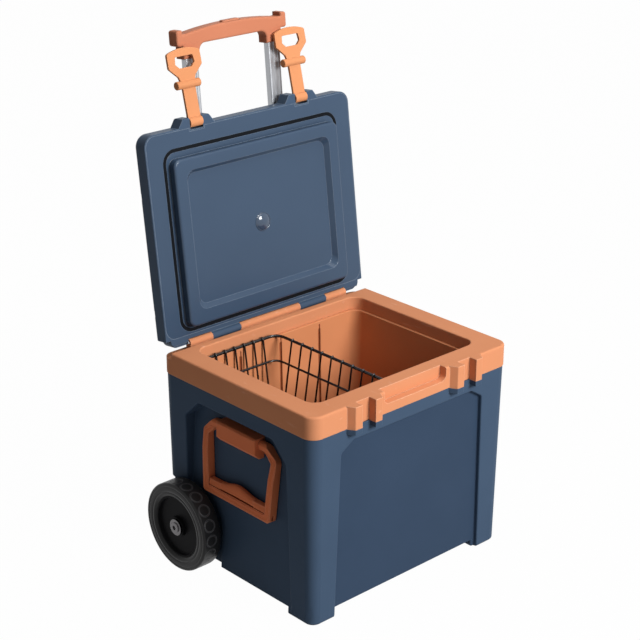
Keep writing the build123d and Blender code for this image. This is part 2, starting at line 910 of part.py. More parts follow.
def plug_form(grow):
    """The plug that drops into the mouth, grown outwards."""
    with BuildPart() as form:
        with BuildSketch(Plane.XY.offset(lid_inner - plug_depth - grow)):
            with Locations((0, plug_middle)):
                RectangleRounded(2 * (plug_half_x + grow), 2 * (plug_half_y + grow),
                                 plug_corner + grow)
        extrude(amount=plug_depth + grow + lining_plate)
        fillet(form.faces().sort_by(Axis.Z)[0].edges(), plug_round + grow)
    return form.part


def panel_room(grow):
    """Recessed panel in the face of the plug, with sloping walls."""
    face = lid_inner - plug_depth
    lean = panel_slope * grow / panel_depth
    with BuildPart() as room:
        for level, inset in ((face - grow, -lean), (face + panel_depth + grow, panel_slope + lean)):
            with BuildSketch(Plane.XY.offset(level)):
                with Locations((0, panel_middle)):
                    RectangleRounded(2 * (panel_half_x + grow - inset),
                                     2 * (panel_half_y + grow - inset), panel_corner)
        loft()
    return room.part


def seal_ring(low, high):
    """Ring that runs just outside the mouth."""
    with BuildPart() as ring:
        with BuildSketch(Plane.XY.offset(low)):
            with Locations((0, (seal_front + seal_rear) / 2)):
                RectangleRounded(2 * seal_half_x, seal_rear - seal_front, seal_corner)
                RectangleRounded(2 * (seal_half_x - seal_width),
                                 seal_rear - seal_front - 2 * seal_width,
                                 seal_corner - seal_width, mode=Mode.SUBTRACT)
        extrude(amount=high - low)
    return ring.part


with BuildPart() as lid_shell:
    with BuildSketch(Plane.XY.offset(lid_inner)) as lid_outline:
        with Locations((0, lid_middle)):
            Rectangle(2 * lid_half_x, lid_rear - lid_front)
        for side in (-1, 1):
            with Locations((side * lid_half_x, lid_rear)):
                Rectangle(2 * (lid_half_x - lid_rear_half_x), 2 * (lid_rear - lid_rear_step),
                          mode=Mode.SUBTRACT)
        fillet(lid_outline.vertices().group_by(Axis.Y)[0], lid_front_corner)
        fillet(lid_outline.vertices().group_by(Axis.Y)[-1], lid_rear_corner)
    extrude(amount=lid_outer - lid_inner)
    fillet(lid_shell.faces().sort_by(Axis.Z)[-1].edges(), lid_top_round)
    fillet(lid_shell.faces().sort_by(Axis.Z)[0].edges(), lid_face_round)
    # lugs for the latches
    with BuildSketch(Plane.XY.offset(lid_inner)):
        for x in (-keeper_x, keeper_x):
            with BuildLine():
                Polyline((x - lug_base_half, lid_front + lug_round),
                         (x - lug_base_half, lid_front),
                         (x - lug_tip_half, lid_front - lug_proud),
                         (x + lug_tip_half, lid_front - lug_proud),
                         (x + lug_base_half, lid_front),
                         (x + lug_base_half, lid_front + lug_round), close=True)
            make_face()
    extrude(amount=lug_top - lid_inner)
    fillet(lid_shell.faces().sort_by(Axis.Y)[0].edges().filter_by(Axis.X), lug_round)
    add(tie_grooves(0), mode=Mode.SUBTRACT)
    with BuildPart(mode=Mode.PRIVATE) as lid_cavity:
        add(lid_room(lid_wall, lid_inner, lid_outer - lid_wall))
        add(tie_grooves(lid_wall), mode=Mode.SUBTRACT)
        for x in (-keeper_x, keeper_x):
            add(block((x - lug_slot_half - lid_wall, lid_front - lug_proud, lid_inner),
                      (x + lug_slot_half + lid_wall, lug_slot_back + lid_wall, lid_outer)),
                mode=Mode.SUBTRACT)
    add(lid_cavity.part, mode=Mode.SUBTRACT)
    for x in (-keeper_x, keeper_x):
        add(block((x - lug_slot_half, lid_front - lug_proud - lug_round, lid_inner - lug_round),
                  (x + lug_slot_half, lug_slot_back, lid_outer + lug_round)), mode=Mode.SUBTRACT)
        add(rod((x - latch_pin_half, latch_pin_y, latch_pin_z),
                (x + latch_pin_half, latch_pin_y, latch_pin_z), latch_pin_radius),
            mode=Mode.SUBTRACT)
    # knuckles between the fixed ones, and relief round the fixed ones
    middle, inside, outside = knuckle_ends
    for start, end in ((-outside, -inside), (-middle, middle), (inside, outside)):
        add(rod((start - knuckle_gap, 0, 0), (end + knuckle_gap, 0, 0),
                knuckle_radius + knuckle_relief), mode=Mode.SUBTRACT)
    for start, end in ((-inside, -middle), (middle, inside)):
        add(rod((start + knuckle_gap, 0, 0), (end - knuckle_gap, 0, 0), knuckle_radius))
    add(rod((-side_reach, 0, 0), (side_reach, 0, 0), hinge_pin_radius + running_gap),
        mode=Mode.SUBTRACT)
keep(lid_shell, "lid_shell", lid_pose)

with BuildPart() as lid_liner:
    add(lid_cavity.part)
    with BuildSketch(Plane.XY.offset(lid_inner)):
        with Locations((0, lid_middle)):
            Rectangle(2 * side_reach, 2 * side_reach)
    extrude(amount=lining_plate, mode=Mode.INTERSECT)
    add(plug_form(0))
    add(panel_room(0), mode=Mode.SUBTRACT)
    add(seal_ring(lid_inner, lid_inner + seal_groove), mode=Mode.SUBTRACT)
    with BuildPart(mode=Mode.PRIVATE) as plug_hollow:
        add(plug_form(-lining_plate))
        add(panel_room(lining_plate), mode=Mode.SUBTRACT)
    add(plug_hollow.part, mode=Mode.SUBTRACT)
keep(lid_liner, "lid_liner", lid_pose)

with BuildPart() as lid_foam:
    add(lid_cavity.part)
    add(block((-side_reach, lid_front, lid_inner),
              (side_reach, lid_rear, lid_inner + lining_plate)), mode=Mode.SUBTRACT)
    add(plug_hollow.part)
    add(panel_room(lining_plate), mode=Mode.SUBTRACT)
keep(lid_foam, "lid_foam", lid_pose)

with BuildPart() as lid_gasket:
    add(seal_ring(lid_inner - seal_proud, lid_inner + seal_groove))
    fillet(lid_gasket.faces().sort_by(Axis.Z)[0].edges(), seal_round)
keep(lid_gasket, "lid_gasket", lid_pose)

panel_face = lid_inner - plug_depth + panel_depth
with BuildPart() as lid_port_cap:
    with BuildSketch(Plane.XY.offset(panel_face - port_thickness)):
        with Locations((0, plug_middle)):
            Circle(port_radius)
    extrude(amount=port_thickness)
    fillet(lid_port_cap.edges().group_by(Axis.Z)[0], port_round)
    with BuildSketch(Plane.XY.offset(panel_face - port_thickness)):
        with Locations((0, plug_middle)):
            Circle(port_dish_radius)
    extrude(amount=port_dish_depth, mode=Mode.SUBTRACT)
keep(lid_port_cap, "lid_port_cap", lid_pose)

# Latches, drawn hanging from their pin
with BuildPart() as latch_form:
    with BuildSketch(Plane.XZ) as latch_outline:
        with BuildLine():
            Line((-latch_strap_half, 0), (latch_strap_half, 0))
            Polyline((latch_strap_half, 0), (latch_strap_half, -latch_bar_drop),
                     (latch_neck_half, -latch_neck_drop),
                     (latch_shoulder_half, -latch_shoulder_drop),
                     (latch_end_half, -latch_end_drop))
            ThreePointArc((latch_end_half, -latch_end_drop), (0, -latch_tip_drop),
                          (-latch_end_half, -latch_end_drop))
            Polyline((-latch_end_half, -latch_end_drop),
                     (-latch_shoulder_half, -latch_shoulder_drop),
                     (-latch_neck_half, -latch_neck_drop),
                     (-latch_strap_half, -latch_bar_drop), (-latch_strap_half, 0))
        make_face()
        fillet(latch_outline.vertices().filter_by_position(
            Axis.Y, -latch_tip_drop, -latch_neck_drop), latch_corner)
    extrude(amount=latch_thickness / 2, both=True)
    with BuildSketch(Plane.XZ) as latch_hole:
        with BuildLine():
            Polyline((-latch_hole_top_half, -latch_hole_top_drop),
                     (latch_hole_top_half, -latch_hole_top_drop),
                     (latch_hole_mid_half, -latch_hole_mid_drop),
                     (latch_hole_low_half, -latch_hole_low_drop),
                     (-latch_hole_low_half, -latch_hole_low_drop),
                     (-latch_hole_mid_half, -latch_hole_mid_drop), close=True)
        make_face()
        fillet(latch_hole.vertices(), latch_hole_corner)
    extrude(amount=latch_thickness, both=True, mode=Mode.SUBTRACT)
    chamfer(latch_form.faces().sort_by(Axis.Y)[0].edges(), latch_edge)
    add(rod((-latch_strap_half, 0, 0), (latch_strap_half, 0, 0), latch_roll_radius))
    add(rounded_rod((-latch_bar_half, 0, -latch_bar_drop), (latch_bar_half, 0, -latch_bar_drop),
                    latch_bar_radius, latch_edge))
    add(rod((-side_reach, 0, 0), (side_reach, 0, 0), latch_pin_radius + running_gap),
        mode=Mode.SUBTRACT)

for side, name in ((-1, "left"), (1, "right")):
    with BuildPart() as latch:
        add(latch_form.part)
    keep(latch, "latch_" + name, lid_pose
         * Location((side * keeper_x, latch_pin_y, latch_pin_z))
         * Location((0, 0, 0), (-90 - latch_lean, 0, 0)))

with BuildPart() as latch_pins:
    add(both_sides(rod((keeper_x - latch_pin_half, latch_pin_y, latch_pin_z),
                       (keeper_x + latch_pin_half, latch_pin_y, latch_pin_z), latch_pin_radius)))
keep(latch_pins, "latch_pins", lid_pose)

# Wheels, drawn lying flat about the vertical, inner face down
with BuildPart() as tyre_form:
    with BuildSketch(Plane.XZ) as tyre_section:
        with BuildLine():
            Polyline((tyre_seat_radius, tyre_bevel), (tyre_seat_radius + tyre_bevel, 0),
                     (wheel_radius - tyre_bevel, 0), (wheel_radius, tyre_bevel),
                     (wheel_radius, wheel_width - tyre_bevel),
                     (wheel_radius - tyre_bevel, wheel_width),
                     (tyre_seat_radius + tyre_bevel, wheel_width),
                     (tyre_seat_radius, wheel_width - tyre_bevel), close=True)
        make_face()
        fillet(tyre_section.vertices().filter_by_position(
            Axis.X, wheel_radius - tyre_bevel, wheel_radius), tyre_shoulder / 2)
    revolve(axis=Axis.Z)

with BuildPart() as hub_form:
    with BuildSketch(Plane.XZ):
        with BuildLine():
            Polyline((bush_radius, bush_flange_width), (hub_boss_radius, bush_flange_width),
                     (hub_boss_radius, hub_web_in), (tyre_seat_radius - hub_rim, hub_web_in),
                     (tyre_seat_radius - hub_rim, tyre_bevel), (tyre_seat_radius, tyre_bevel),
                     (tyre_seat_radius, wheel_width - tyre_bevel),
                     (tyre_seat_radius - hub_rim / 2, wheel_width - tyre_bevel),
                     (tyre_seat_radius - hub_rim, hub_web_out), (hub_boss_radius, hub_web_out),
                     (hub_boss_radius - bush_flange_width, hub_boss_end - bush_flange_width),
                     (bush_radius, hub_boss_end - bush_flange_width), close=True)
        make_face()
    revolve(axis=Axis.Z)
    rib_start = (bush_radius + hub_boss_radius) / 2
    rib_end = tyre_seat_radius - hub_rim / 2
    with BuildSketch(Plane.XY.offset(hub_rib_in)):
        with PolarLocations((rib_start + rib_end) / 2, hub_rib_count):
            Rectangle(rib_end - rib_start, hub_rib_width)
    extrude(amount=hub_web_in - hub_rib_in)

with BuildPart() as bush_form:
    with BuildSketch(Plane.XZ):
        with BuildLine():
            bore = axle_radius + running_gap / 2
            Polyline((bore, 0), (bush_flange, 0), (bush_flange, bush_flange_width),
                     (bush_radius, bush_flange_width),
                     (bush_radius, hub_boss_end - bush_flange_width),
                     (bush_flange, hub_boss_end - bush_flange_width),
                     (bush_flange, hub_boss_end), (bore, hub_boss_end), close=True)
        make_face()
    revolve(axis=Axis.Z)

# Axle, drawn with the wheel: its shoulder is the bracket, its bolt stands outside the hub
axle_in = notch_wall_x + screw_head - wheel_x
with BuildPart() as axle_form:
    add(rod((0, 0, axle_in), (0, 0, hub_boss_end + wheel_end_gap), axle_radius))

with BuildPart() as bolt_form:
    seat = hub_boss_end + wheel_end_gap
    add(rod((0, 0, seat), (0, 0, seat + bolt_flange_width), bolt_flange_radius))
    add(rod((0, 0, seat + bolt_flange_width),
            (0, 0, seat + bolt_flange_width + bolt_head_width), bolt_head_radius))
    chamfer(bolt_form.edges().group_by(Axis.Z)[-1], bolt_flange_width / 2)
    with BuildSketch(Plane.XY.offset(seat + bolt_flange_width + bolt_head_width)):
        RegularPolygon(bolt_socket_radius, 6)
    extrude(amount=-bolt_socket_depth, mode=Mode.SUBTRACT)

with BuildPart() as mount_form:
    foot = notch_wall_x - wheel_x
    with BuildSketch(Plane.XY.offset(foot)):
        RectangleRounded(2 * mount_plate_half, 2 * mount_plate_half, mount_corner)
    extrude(amount=mount_plate)
    with BuildSketch(Plane.XY.offset(foot + mount_plate)):
        Circle(mount_foot_radius)
    with BuildSketch(Plane.XY.offset(-wheel_end_gap)):
        Circle(mount_boss_radius)
    loft()
    with BuildSketch(Plane.XY.offset(axle_in)):
        Circle(axle_radius)
    extrude(amount=side_reach - wheel_x, mode=Mode.SUBTRACT)
    with BuildSketch(Plane.XY.offset(foot)):
        with GridLocations(mount_screw_pitch, mount_screw_pitch, 2, 2):
            Circle(screw_radius)
    extrude(amount=mount_plate, mode=Mode.SUBTRACT)

for side, name in ((-1, "left"), (1, "right")):
    axle_pose = Plane(origin=(side * wheel_x, wheel_y, wheel_radius), x_dir=(0, 1, 0),
                      z_dir=(side, 0, 0)).location
    for form, piece_name in ((tyre_form, "tyre_"), (hub_form, "wheel_hub_"),
                             (bush_form, "wheel_bush_"), (axle_form, "stub_axle_"),
                             (bolt_form, "axle_bolt_"), (mount_form, "wheel_mount_")):
        with BuildPart() as wheel_piece:
            add(form.part)
        keep(wheel_piece, piece_name + name, axle_pose)

with BuildPart() as mount_screws:
    add(both_sides(screws_at(mount_screw_spots, (1, 0, 0), mount_plate + screw_bite)))
keep(mount_screws, "mount_screws")

# Side handles, the right one drawn and then mirrored
with BuildPart() as cover_form:
    with BuildSketch(Plane.XZ) as cover_section:
        with BuildLine():
            slope = tan(radians(side_floor_slope))
            Polyline((side_floor_low_x - cover_low * slope, cover_low), (cover_low_x, cover_low),
                     (cover_front_x, cover_front_low), (cover_front_x, cover_front_top),
                     (cover_front_x - cover_round, cover_top),
                     (side_floor_low_x - cover_top * slope, cover_top), close=True)
        make_face()
    extrude(amount=cover_half_y, both=True)
    fillet(cover_form.edges().filter_by(Axis.Z).group_by(Axis.X)[-1], cover_round)
    add(rod((handle_pivot_x, -cover_half_y, handle_pivot_z),
            (handle_pivot_x, cover_half_y, handle_pivot_z), handle_pin_radius),
        mode=Mode.SUBTRACT)

# The frame and its grip are drawn about the pivot and hang parallel to the recess floor
with BuildPart() as frame_form:
    with BuildSketch(Plane.YZ) as frame_outline:
        with BuildLine():
            Polyline((-frame_low_half, frame_low), (frame_low_half, frame_low),
                     (frame_elbow_half, frame_elbow_drop), (frame_eye_end, frame_eye_radius),
                     (frame_eye_start, frame_eye_radius), (frame_eye_start, -frame_eye_radius),
                     (frame_inner_eye, -frame_eye_radius),
                     (frame_inner_elbow_half, frame_inner_elbow_drop),
                     (frame_inner_low_half, frame_bar_top),
                     (-frame_inner_low_half, frame_bar_top),
                     (-frame_inner_elbow_half, frame_inner_elbow_drop),
                     (-frame_inner_eye, -frame_eye_radius),
                     (-frame_eye_start, -frame_eye_radius), (-frame_eye_start, frame_eye_radius),
                     (-frame_eye_end, frame_eye_radius), (-frame_elbow_half, frame_elbow_drop),
                     close=True)
        make_face()
        for half, radius in ((frame_low_half, frame_corner), (frame_elbow_half, frame_bend),
                             (frame_inner_elbow_half, frame_inner_corner)):
            fillet(frame_outline.vertices().filter_by_position(Axis.X, half, half)
                   + frame_outline.vertices().filter_by_position(Axis.X, -half, -half), radius)
    extrude(amount=side_reach, both=True)
    with BuildSketch(Plane.XZ):
        with BuildLine():
            eye_back = Line((frame_back, frame_low), (frame_back, 0))
            eye_top = ThreePointArc((frame_back, 0), (0, frame_eye_radius),
                                    (frame_eye_radius, 0))
            Polyline((frame_eye_radius, 0), (frame_elbow_front, frame_elbow_level),
                     (frame_front, frame_taper_level), (frame_front, frame_low),
                     (frame_back, frame_low))
        make_face()
    extrude(amount=side_reach, both=True, mode=Mode.INTERSECT)
    add(rod((0, -handle_pin_half, 0), (0, handle_pin_half, 0), handle_pin_radius + running_gap),
        mode=Mode.SUBTRACT)
    # slots in the two ends of the lower bar
    with BuildSketch(Plane.XZ.offset(frame_low_half - frame_slot_depth)):
        with Locations(((frame_front + frame_back) / 2, frame_slot_level)):
            SlotOverall(frame_slot_length, frame_slot_width, rotation=90)
    extrude(amount=frame_slot_length, mode=Mode.SUBTRACT)
    with BuildSketch(Plane.XZ.offset(frame_slot_depth - frame_low_half)):
        with Locations(((frame_front + frame_back) / 2, frame_slot_level)):
            SlotOverall(frame_slot_length, frame_slot_width, rotation=90)
    extrude(amount=-frame_slot_length, mode=Mode.SUBTRACT)

with BuildPart() as handle_grip_form:
    with BuildSketch(Plane.YZ):
        with BuildLine():
            Polyline((-grip_pad_half, grip_step_level), (-grip_pad_half, grip_end_level),
                     (-grip_half, grip_end_level), (-grip_half, frame_bar_top),
                     (grip_half, frame_bar_top), (grip_half, grip_end_level),
                     (grip_pad_half, grip_end_level), (grip_pad_half, grip_step_level))
            Spline((grip_pad_half, grip_step_level), (0, grip_crown_level),
                   (-grip_pad_half, grip_step_level), tangents=((-1, 0), (-1, 0)))
        make_face()
    extrude(amount=grip_front)
    extrude(handle_grip_form.faces().sort_by(Axis.X)[0], amount=-grip_back)
    pad = handle_grip_form.edges().filter_by(GeomType.BSPLINE)
    fillet(pad.group_by(Axis.X)[0] + pad.group_by(Axis.X)[-1], grip_edge)
    for end in (-1, 1):
        near, far = sorted((end * (grip_pad_half + grip_groove_width),
                            end * (grip_half - grip_groove_width)))
        for number in range(grip_groove_count):
            level = frame_bar_top + grip_groove_width * (2 * number + 1)
            add(block((grip_front - grip_groove_depth, near, level),
                      (grip_front, far, level + grip_groove_width)), mode=Mode.SUBTRACT)

hang = Location((handle_pivot_x, 0, handle_pivot_z)) * Location((0, 0, 0),
                                                                (0, -side_floor_slope, 0))
with BuildPart() as handle_pin_form:
    add(rod((0, -handle_pin_half, 0), (0, handle_pin_half, 0), handle_pin_radius))

for form, piece_name, pose in ((cover_form, "handle_cover_", Location()),
                               (frame_form, "handle_frame_", hang),
                               (handle_grip_form, "handle_grip_", hang),
                               (handle_pin_form, "handle_pin_", hang)):
    with BuildPart() as right_piece:
        add(form.part.moved(pose))
    with BuildPart() as left_piece:
        add(other_side(form.part.moved(pose)))
    keep(right_piece, piece_name + "right")
    keep(left_piece, piece_name + "left")

# Pulling handle, drawn upright with its zero at the level of the rim
rail_pose = Location((0, rail_y, rim_top)) * Location((0, 0, 0), (-rail_lean, 0, 0))


def bar(half_x, half_y, corner, low, high, x=rail_x):
    """Solid rounded bar on the right rail between two levels."""
    with BuildPart() as form:
        with BuildSketch(Plane.XY.offset(low)):
            with Locations((x, 0)):
                RectangleRounded(2 * half_x, 2 * half_y, corner)
        extrude(amount=high - low)
    return form.part


def tube(half_x, half_y, corner, wall, low, high):
    """Hollow rail tube."""
    with BuildPart() as form:
        add(bar(half_x, half_y, corner, low, high))
        add(bar(half_x - wall, half_y - wall, corner - wall, low, high), mode=Mode.SUBTRACT)
    return form.part


def bush(half_x, half_y, inner_x, inner_y, corner, low, high):
    """Guide ring at the mouth of a tube, with running room for the next one."""
    with BuildPart() as form:
        add(bar(half_x, half_y, corner, low, high))
        fillet(form.edges().group_by(Axis.Z)[-1], bush_edge)
        add(bar(inner_x + rail_gap, inner_y + rail_gap, corner / 2, low, high),
            mode=Mode.SUBTRACT)
    return form.part


guide_form = tube(guide_half_x, guide_half_y, guide_corner, guide_wall, guide_low, guide_high)
mid_form = tube(mid_half_x, mid_half_y, mid_corner, mid_wall, mid_low, mid_high)
guide_bush_form = bush(collar_bush_half_x, collar_bush_half_y, mid_half_x, mid_half_y,
                       guide_corner, guide_high, guide_high + collar_bush_high)
mid_bush_form = bush(guide_half_x, guide_half_y, top_half_x, top_half_y,
                     mid_corner, mid_high, mid_high + collar_bush_high)
tube_top = handle_collar_low + tube_socket
with BuildPart() as top_tube_form:
    add(tube(top_half_x, top_half_y, top_corner, top_wall, top_low, tube_top))
    with BuildSketch(Plane.XY.offset(top_low)):
        for side in (-1, 1):
            with Locations((rail_x - flute_width, side * top_half_y),
                           (rail_x + flute_width, side * top_half_y)):
                Rectangle(flute_width, 2 * flute_depth)
    extrude(amount=handle_collar_low - top_low, mode=Mode.SUBTRACT)
rod_form = rod((rail_x, 0, rod_low), (rail_x, 0, bridge_low), rod_radius)

for form, piece_name in ((guide_form, "guide_tube_"), (guide_bush_form, "guide_bush_"),
                         (mid_form, "mid_tube_"), (mid_bush_form, "mid_bush_"),
                         (top_tube_form.part, "top_tube_"), (rod_form, "release_rod_")):
    with BuildPart() as right_piece:
        add(form)
    with BuildPart() as left_piece:
        add(other_side(form))
    keep(right_piece, piece_name + "right", rail_pose)
    keep(left_piece, piece_name + "left", rail_pose)

with BuildPart() as trolley_grip:
    with BuildSketch(Plane.XZ) as grip_outline:
        with BuildLine():
            Polyline((-handle_dip_x, handle_dip_top), (-handle_horn_x, handle_dip_top),
                     (-handle_horn_x, handle_horn_top), (-handle_end_x, handle_horn_top),
                     (-handle_end_x, handle_bar_low), (-handle_collar_out, handle_bar_low),
                     (-handle_collar_out, handle_collar_low),
                     (-handle_collar_in, handle_collar_low), (-handle_collar_in, handle_bar_low),
                     (handle_collar_in, handle_bar_low), (handle_collar_in, handle_collar_low),
                     (handle_collar_out, handle_collar_low), (handle_collar_out, handle_bar_low),
                     (handle_end_x, handle_bar_low), (handle_end_x, handle_horn_top),
                     (handle_horn_x, handle_horn_top), (handle_horn_x, handle_dip_top),
                     (handle_dip_x, handle_dip_top))
            ThreePointArc((handle_dip_x, handle_dip_top), (0, handle_bar_top),
                          (-handle_dip_x, handle_dip_top))
        make_face()
        inside = grip_outline.vertices().filter_by_position(
            Axis.Y, handle_bar_low, handle_bar_low).filter_by_position(
            Axis.X, -handle_collar_in, handle_collar_in)
        fillet(inside, handle_fillet)
        ends = grip_outline.vertices().group_by(Axis.X)
        fillet(ends[0] + ends[-1], handle_horn_fillet)
    extrude(amount=-handle_front)
    extrude(trolley_grip.faces().sort_by(Axis.Y)[-1], amount=handle_back)
    fillet(trolley_grip.faces().sort_by(Axis.Y)[0].edges(), handle_edge)
    fillet(trolley_grip.faces().sort_by(Axis.Y)[-1].edges(), handle_edge)
    add(both_sides(bar(top_half_x, top_half_y, top_corner, handle_collar_low, tube_top)),
        mode=Mode.SUBTRACT)
    add(both_sides(rod((rail_x, 0, tube_top), (rail_x, 0, bridge_low), rod_radius + rod_room)),
        mode=Mode.SUBTRACT)
    add(block((-bridge_half_x - rod_room, -bridge_half_y - rod_room,
               bridge_low - button_travel - button_gap),
              (bridge_half_x + rod_room, bridge_half_y + rod_room, bridge_high + rod_room)),
        mode=Mode.SUBTRACT)
    with BuildSketch(Plane.XY.offset(bridge_high - button_travel - button_gap)):
        RectangleRounded(2 * (button_half_x + button_gap), 2 * (button_half_y + button_gap),
                         button_corner + button_gap)
    extrude(amount=tube_socket, mode=Mode.SUBTRACT)
keep(trolley_grip, "trolley_grip", rail_pose)

with BuildPart() as release_button:
    add(block((-bridge_half_x, -bridge_half_y, bridge_low),
              (bridge_half_x, bridge_half_y, bridge_high)))
    with BuildSketch(Plane.XY.offset(bridge_high)):
        RectangleRounded(2 * button_half_x, 2 * button_half_y, button_corner)
    extrude(amount=handle_bar_top + button_proud - bridge_high)
    fillet(release_button.faces().sort_by(Axis.Z)[-1].edges(), button_edge)
keep(release_button, "release_button", rail_pose)

# Brackets that hold the guides
with BuildPart() as guides:
    add(both_sides(bar(guide_half_x, guide_half_y, guide_corner, guide_low, guide_high)
                   .moved(rail_pose)))

for low, high, back, piece_name in (
        (upper_bracket_low, upper_bracket_high, upper_bracket_back, "upper_rail_bracket"),
        (lower_bracket_low, lower_bracket_high, lower_bracket_back, "lower_rail_bracket")):
    with BuildPart() as rail_bracket:
        with BuildSketch(Plane.XY.offset(low)) as bracket_outline:
            with Locations((0, back - bracket_half_x / 2)):
                Rectangle(2 * bracket_half_x, bracket_half_x)
            fillet(bracket_outline.vertices().group_by(Axis.Y)[-1], bracket_corner)
        extrude(amount=high - low)
        front = collar_half_y if low > collar_low else rear_wall((low + high) / 2)
        add(block((-bracket_window_half, front + bracket_wall, low),
                  (bracket_window_half, back - bracket_wall, high)), mode=Mode.SUBTRACT)
        if low > collar_low:
            add(block((-side_reach, -side_reach, low), (side_reach, collar_half_y, high)),
                mode=Mode.SUBTRACT)
        else:
            add(body_form(0, 0), mode=Mode.SUBTRACT)
        add(guides.part, mode=Mode.SUBTRACT)
        add(bracket_screw_holes(), mode=Mode.SUBTRACT)
    keep(rail_bracket, piece_name)

with BuildPart() as bracket_screws:
    add(screws_at(bracket_screw_spots, (0, 1, 0), bracket_wall + screw_bite))
keep(bracket_screws, "bracket_screws")

# Drain
drain_face = rear_wall(drain_z)
with BuildPart() as drain_fitting:
    add(rod((0, tub_half_y - drain_flange, drain_z), (0, drain_face, drain_z), drain_tube))
    add(tub_room(0), mode=Mode.SUBTRACT)
    add(rod((0, drain_face - shell_wall / 2, drain_z),
            (0, drain_face + drain_flange_depth, drain_z), drain_flange))
    add(body_form(0, 0), mode=Mode.SUBTRACT)
    add(rod((0, tub_half_y - drain_flange, drain_z), (0, drain_face, drain_z), drain_tube))
    add(tub_room(0), mode=Mode.SUBTRACT)
    add(rod((0, 0, drain_z), (0, side_reach, drain_z), drain_bore), mode=Mode.SUBTRACT)
keep(drain_fitting, "drain_fitting")

plug_face = drain_face + drain_flange_depth + rail_gap
seal_y = plug_face - drain_plug_length + drain_seal_inset
with BuildPart() as drain_seal:
    with BuildSketch(Plane.XY) as seal_section:
        with Locations((drain_bore - running_gap / 2 - drain_seal_radius, 0)):
            Circle(drain_seal_radius)
    revolve(axis=Axis.Y)
with BuildPart() as drain_plug:
    add(rod((0, plug_face - drain_plug_length, drain_z), (0, plug_face, drain_z),
            drain_bore - drain_stem_gap))
    chamfer(drain_plug.edges().filter_by(GeomType.CIRCLE).group_by(Axis.Y)[0], drain_seal_radius)
    add(rod((0, plug_face, drain_z), (0, plug_face + drain_plug_flange_depth, drain_z),
            drain_plug_flange))
    add(block((-drain_wing_half, plug_face + drain_plug_flange_depth,
               drain_z - drain_wing_thickness / 2),
              (drain_wing_half, plug_face + drain_plug_flange_depth + drain_wing_depth,
               drain_z + drain_wing_thickness / 2)))
    add(drain_seal.part.moved(Location((0, seal_y, drain_z))), mode=Mode.SUBTRACT)
keep(drain_plug, "drain_plug")
keep(drain_seal, "drain_seal", Location((0, seal_y, drain_z)))


# Wire basket in the left half, hung on the ledge of the tub
def wire(points, radius, closed=False):
    """Wire of a many-sided section along straight runs with mitred corners."""
    first_run = Vector(*points[1]) - Vector(*points[0])
    with BuildPart() as form:
        with BuildLine():
            Polyline(*points, close=closed)
        with BuildSketch(Plane(origin=points[0], z_dir=first_run.normalized())):
            RegularPolygon(radius, wire_sides, major_radius=False)
        sweep(transition=Transition.RIGHT)
    return form.part


def basket_ring(left, right, half_y, corner, z, radius):
    """Ring with cut corners; it starts in the middle of its front run."""
    middle = (left + right) / 2
    return wire([(middle, -half_y, z), (right - corner, -half_y, z), (right, -half_y + corner, z),
                 (right, half_y - corner, z), (right - corner, half_y, z),
                 (left + corner, half_y, z), (left, half_y - corner, z),
                 (left, -half_y + corner, z), (left + corner, -half_y, z)], radius, closed=True)


wire_in = basket_rim_radius + basket_wire_radius - basket_weld
wire_left = basket_left + wire_in
wire_right = basket_right - wire_in
wire_half_y = basket_half_y - wire_in
second_z = basket_top_z - basket_second_drop
second_in = (basket_taper * basket_second_drop / (basket_top_z - basket_floor_z)
             + basket_wire_radius + basket_second_radius - basket_weld)
long_z = basket_floor_z + 2 * basket_wire_radius - basket_weld
with BuildPart() as basket_form:
    wires = [basket_ring(basket_left, basket_right, basket_half_y, basket_corner,
                         basket_top_z, basket_rim_radius),
             basket_ring(wire_left + second_in, wire_right - second_in, wire_half_y - second_in,
                         basket_corner, second_z, basket_second_radius)]
    across = 2 * (wire_half_y - basket_cross_margin) / (basket_cross_wires - 1)
    for number in range(basket_cross_wires):
        y = -wire_half_y + basket_cross_margin + number * across
        low_y = y * (wire_half_y - basket_taper) / wire_half_y
        wires.append(wire([(wire_left, y, basket_top_z),
                           (wire_left + basket_taper, low_y, basket_floor_z),
                           (wire_right - basket_taper, low_y, basket_floor_z),
                           (wire_right, y, basket_top_z)], basket_wire_radius))
    along = (wire_right - wire_left - 2 * basket_long_margin) / (basket_long_wires - 1)
    middle_x = (wire_left + wire_right) / 2
    half_x = (wire_right - wire_left) / 2
    for number in range(basket_long_wires):
        x = wire_left + basket_long_margin + number * along
        low_x = middle_x + (x - middle_x) * (half_x - basket_taper) / half_x
        wires.append(wire([(x, -wire_half_y, basket_top_z),
                           (low_x, -wire_half_y + basket_taper, long_z),
                           (low_x, wire_half_y - basket_taper, long_z),
                           (x, wire_half_y, basket_top_z)], basket_wire_radius))
    add(wires)

# The welded basket as flat grilles: its floor, and four sides that meet at its corners
floor_top = long_z + 2 * basket_wire_radius
with BuildPart() as basket_floor:
    add(basket_form.part)
    add(block((-side_reach, -side_reach, 0), (side_reach, side_reach, floor_top)),
        mode=Mode.INTERSECT)
keep(basket_floor, "basket_floor")

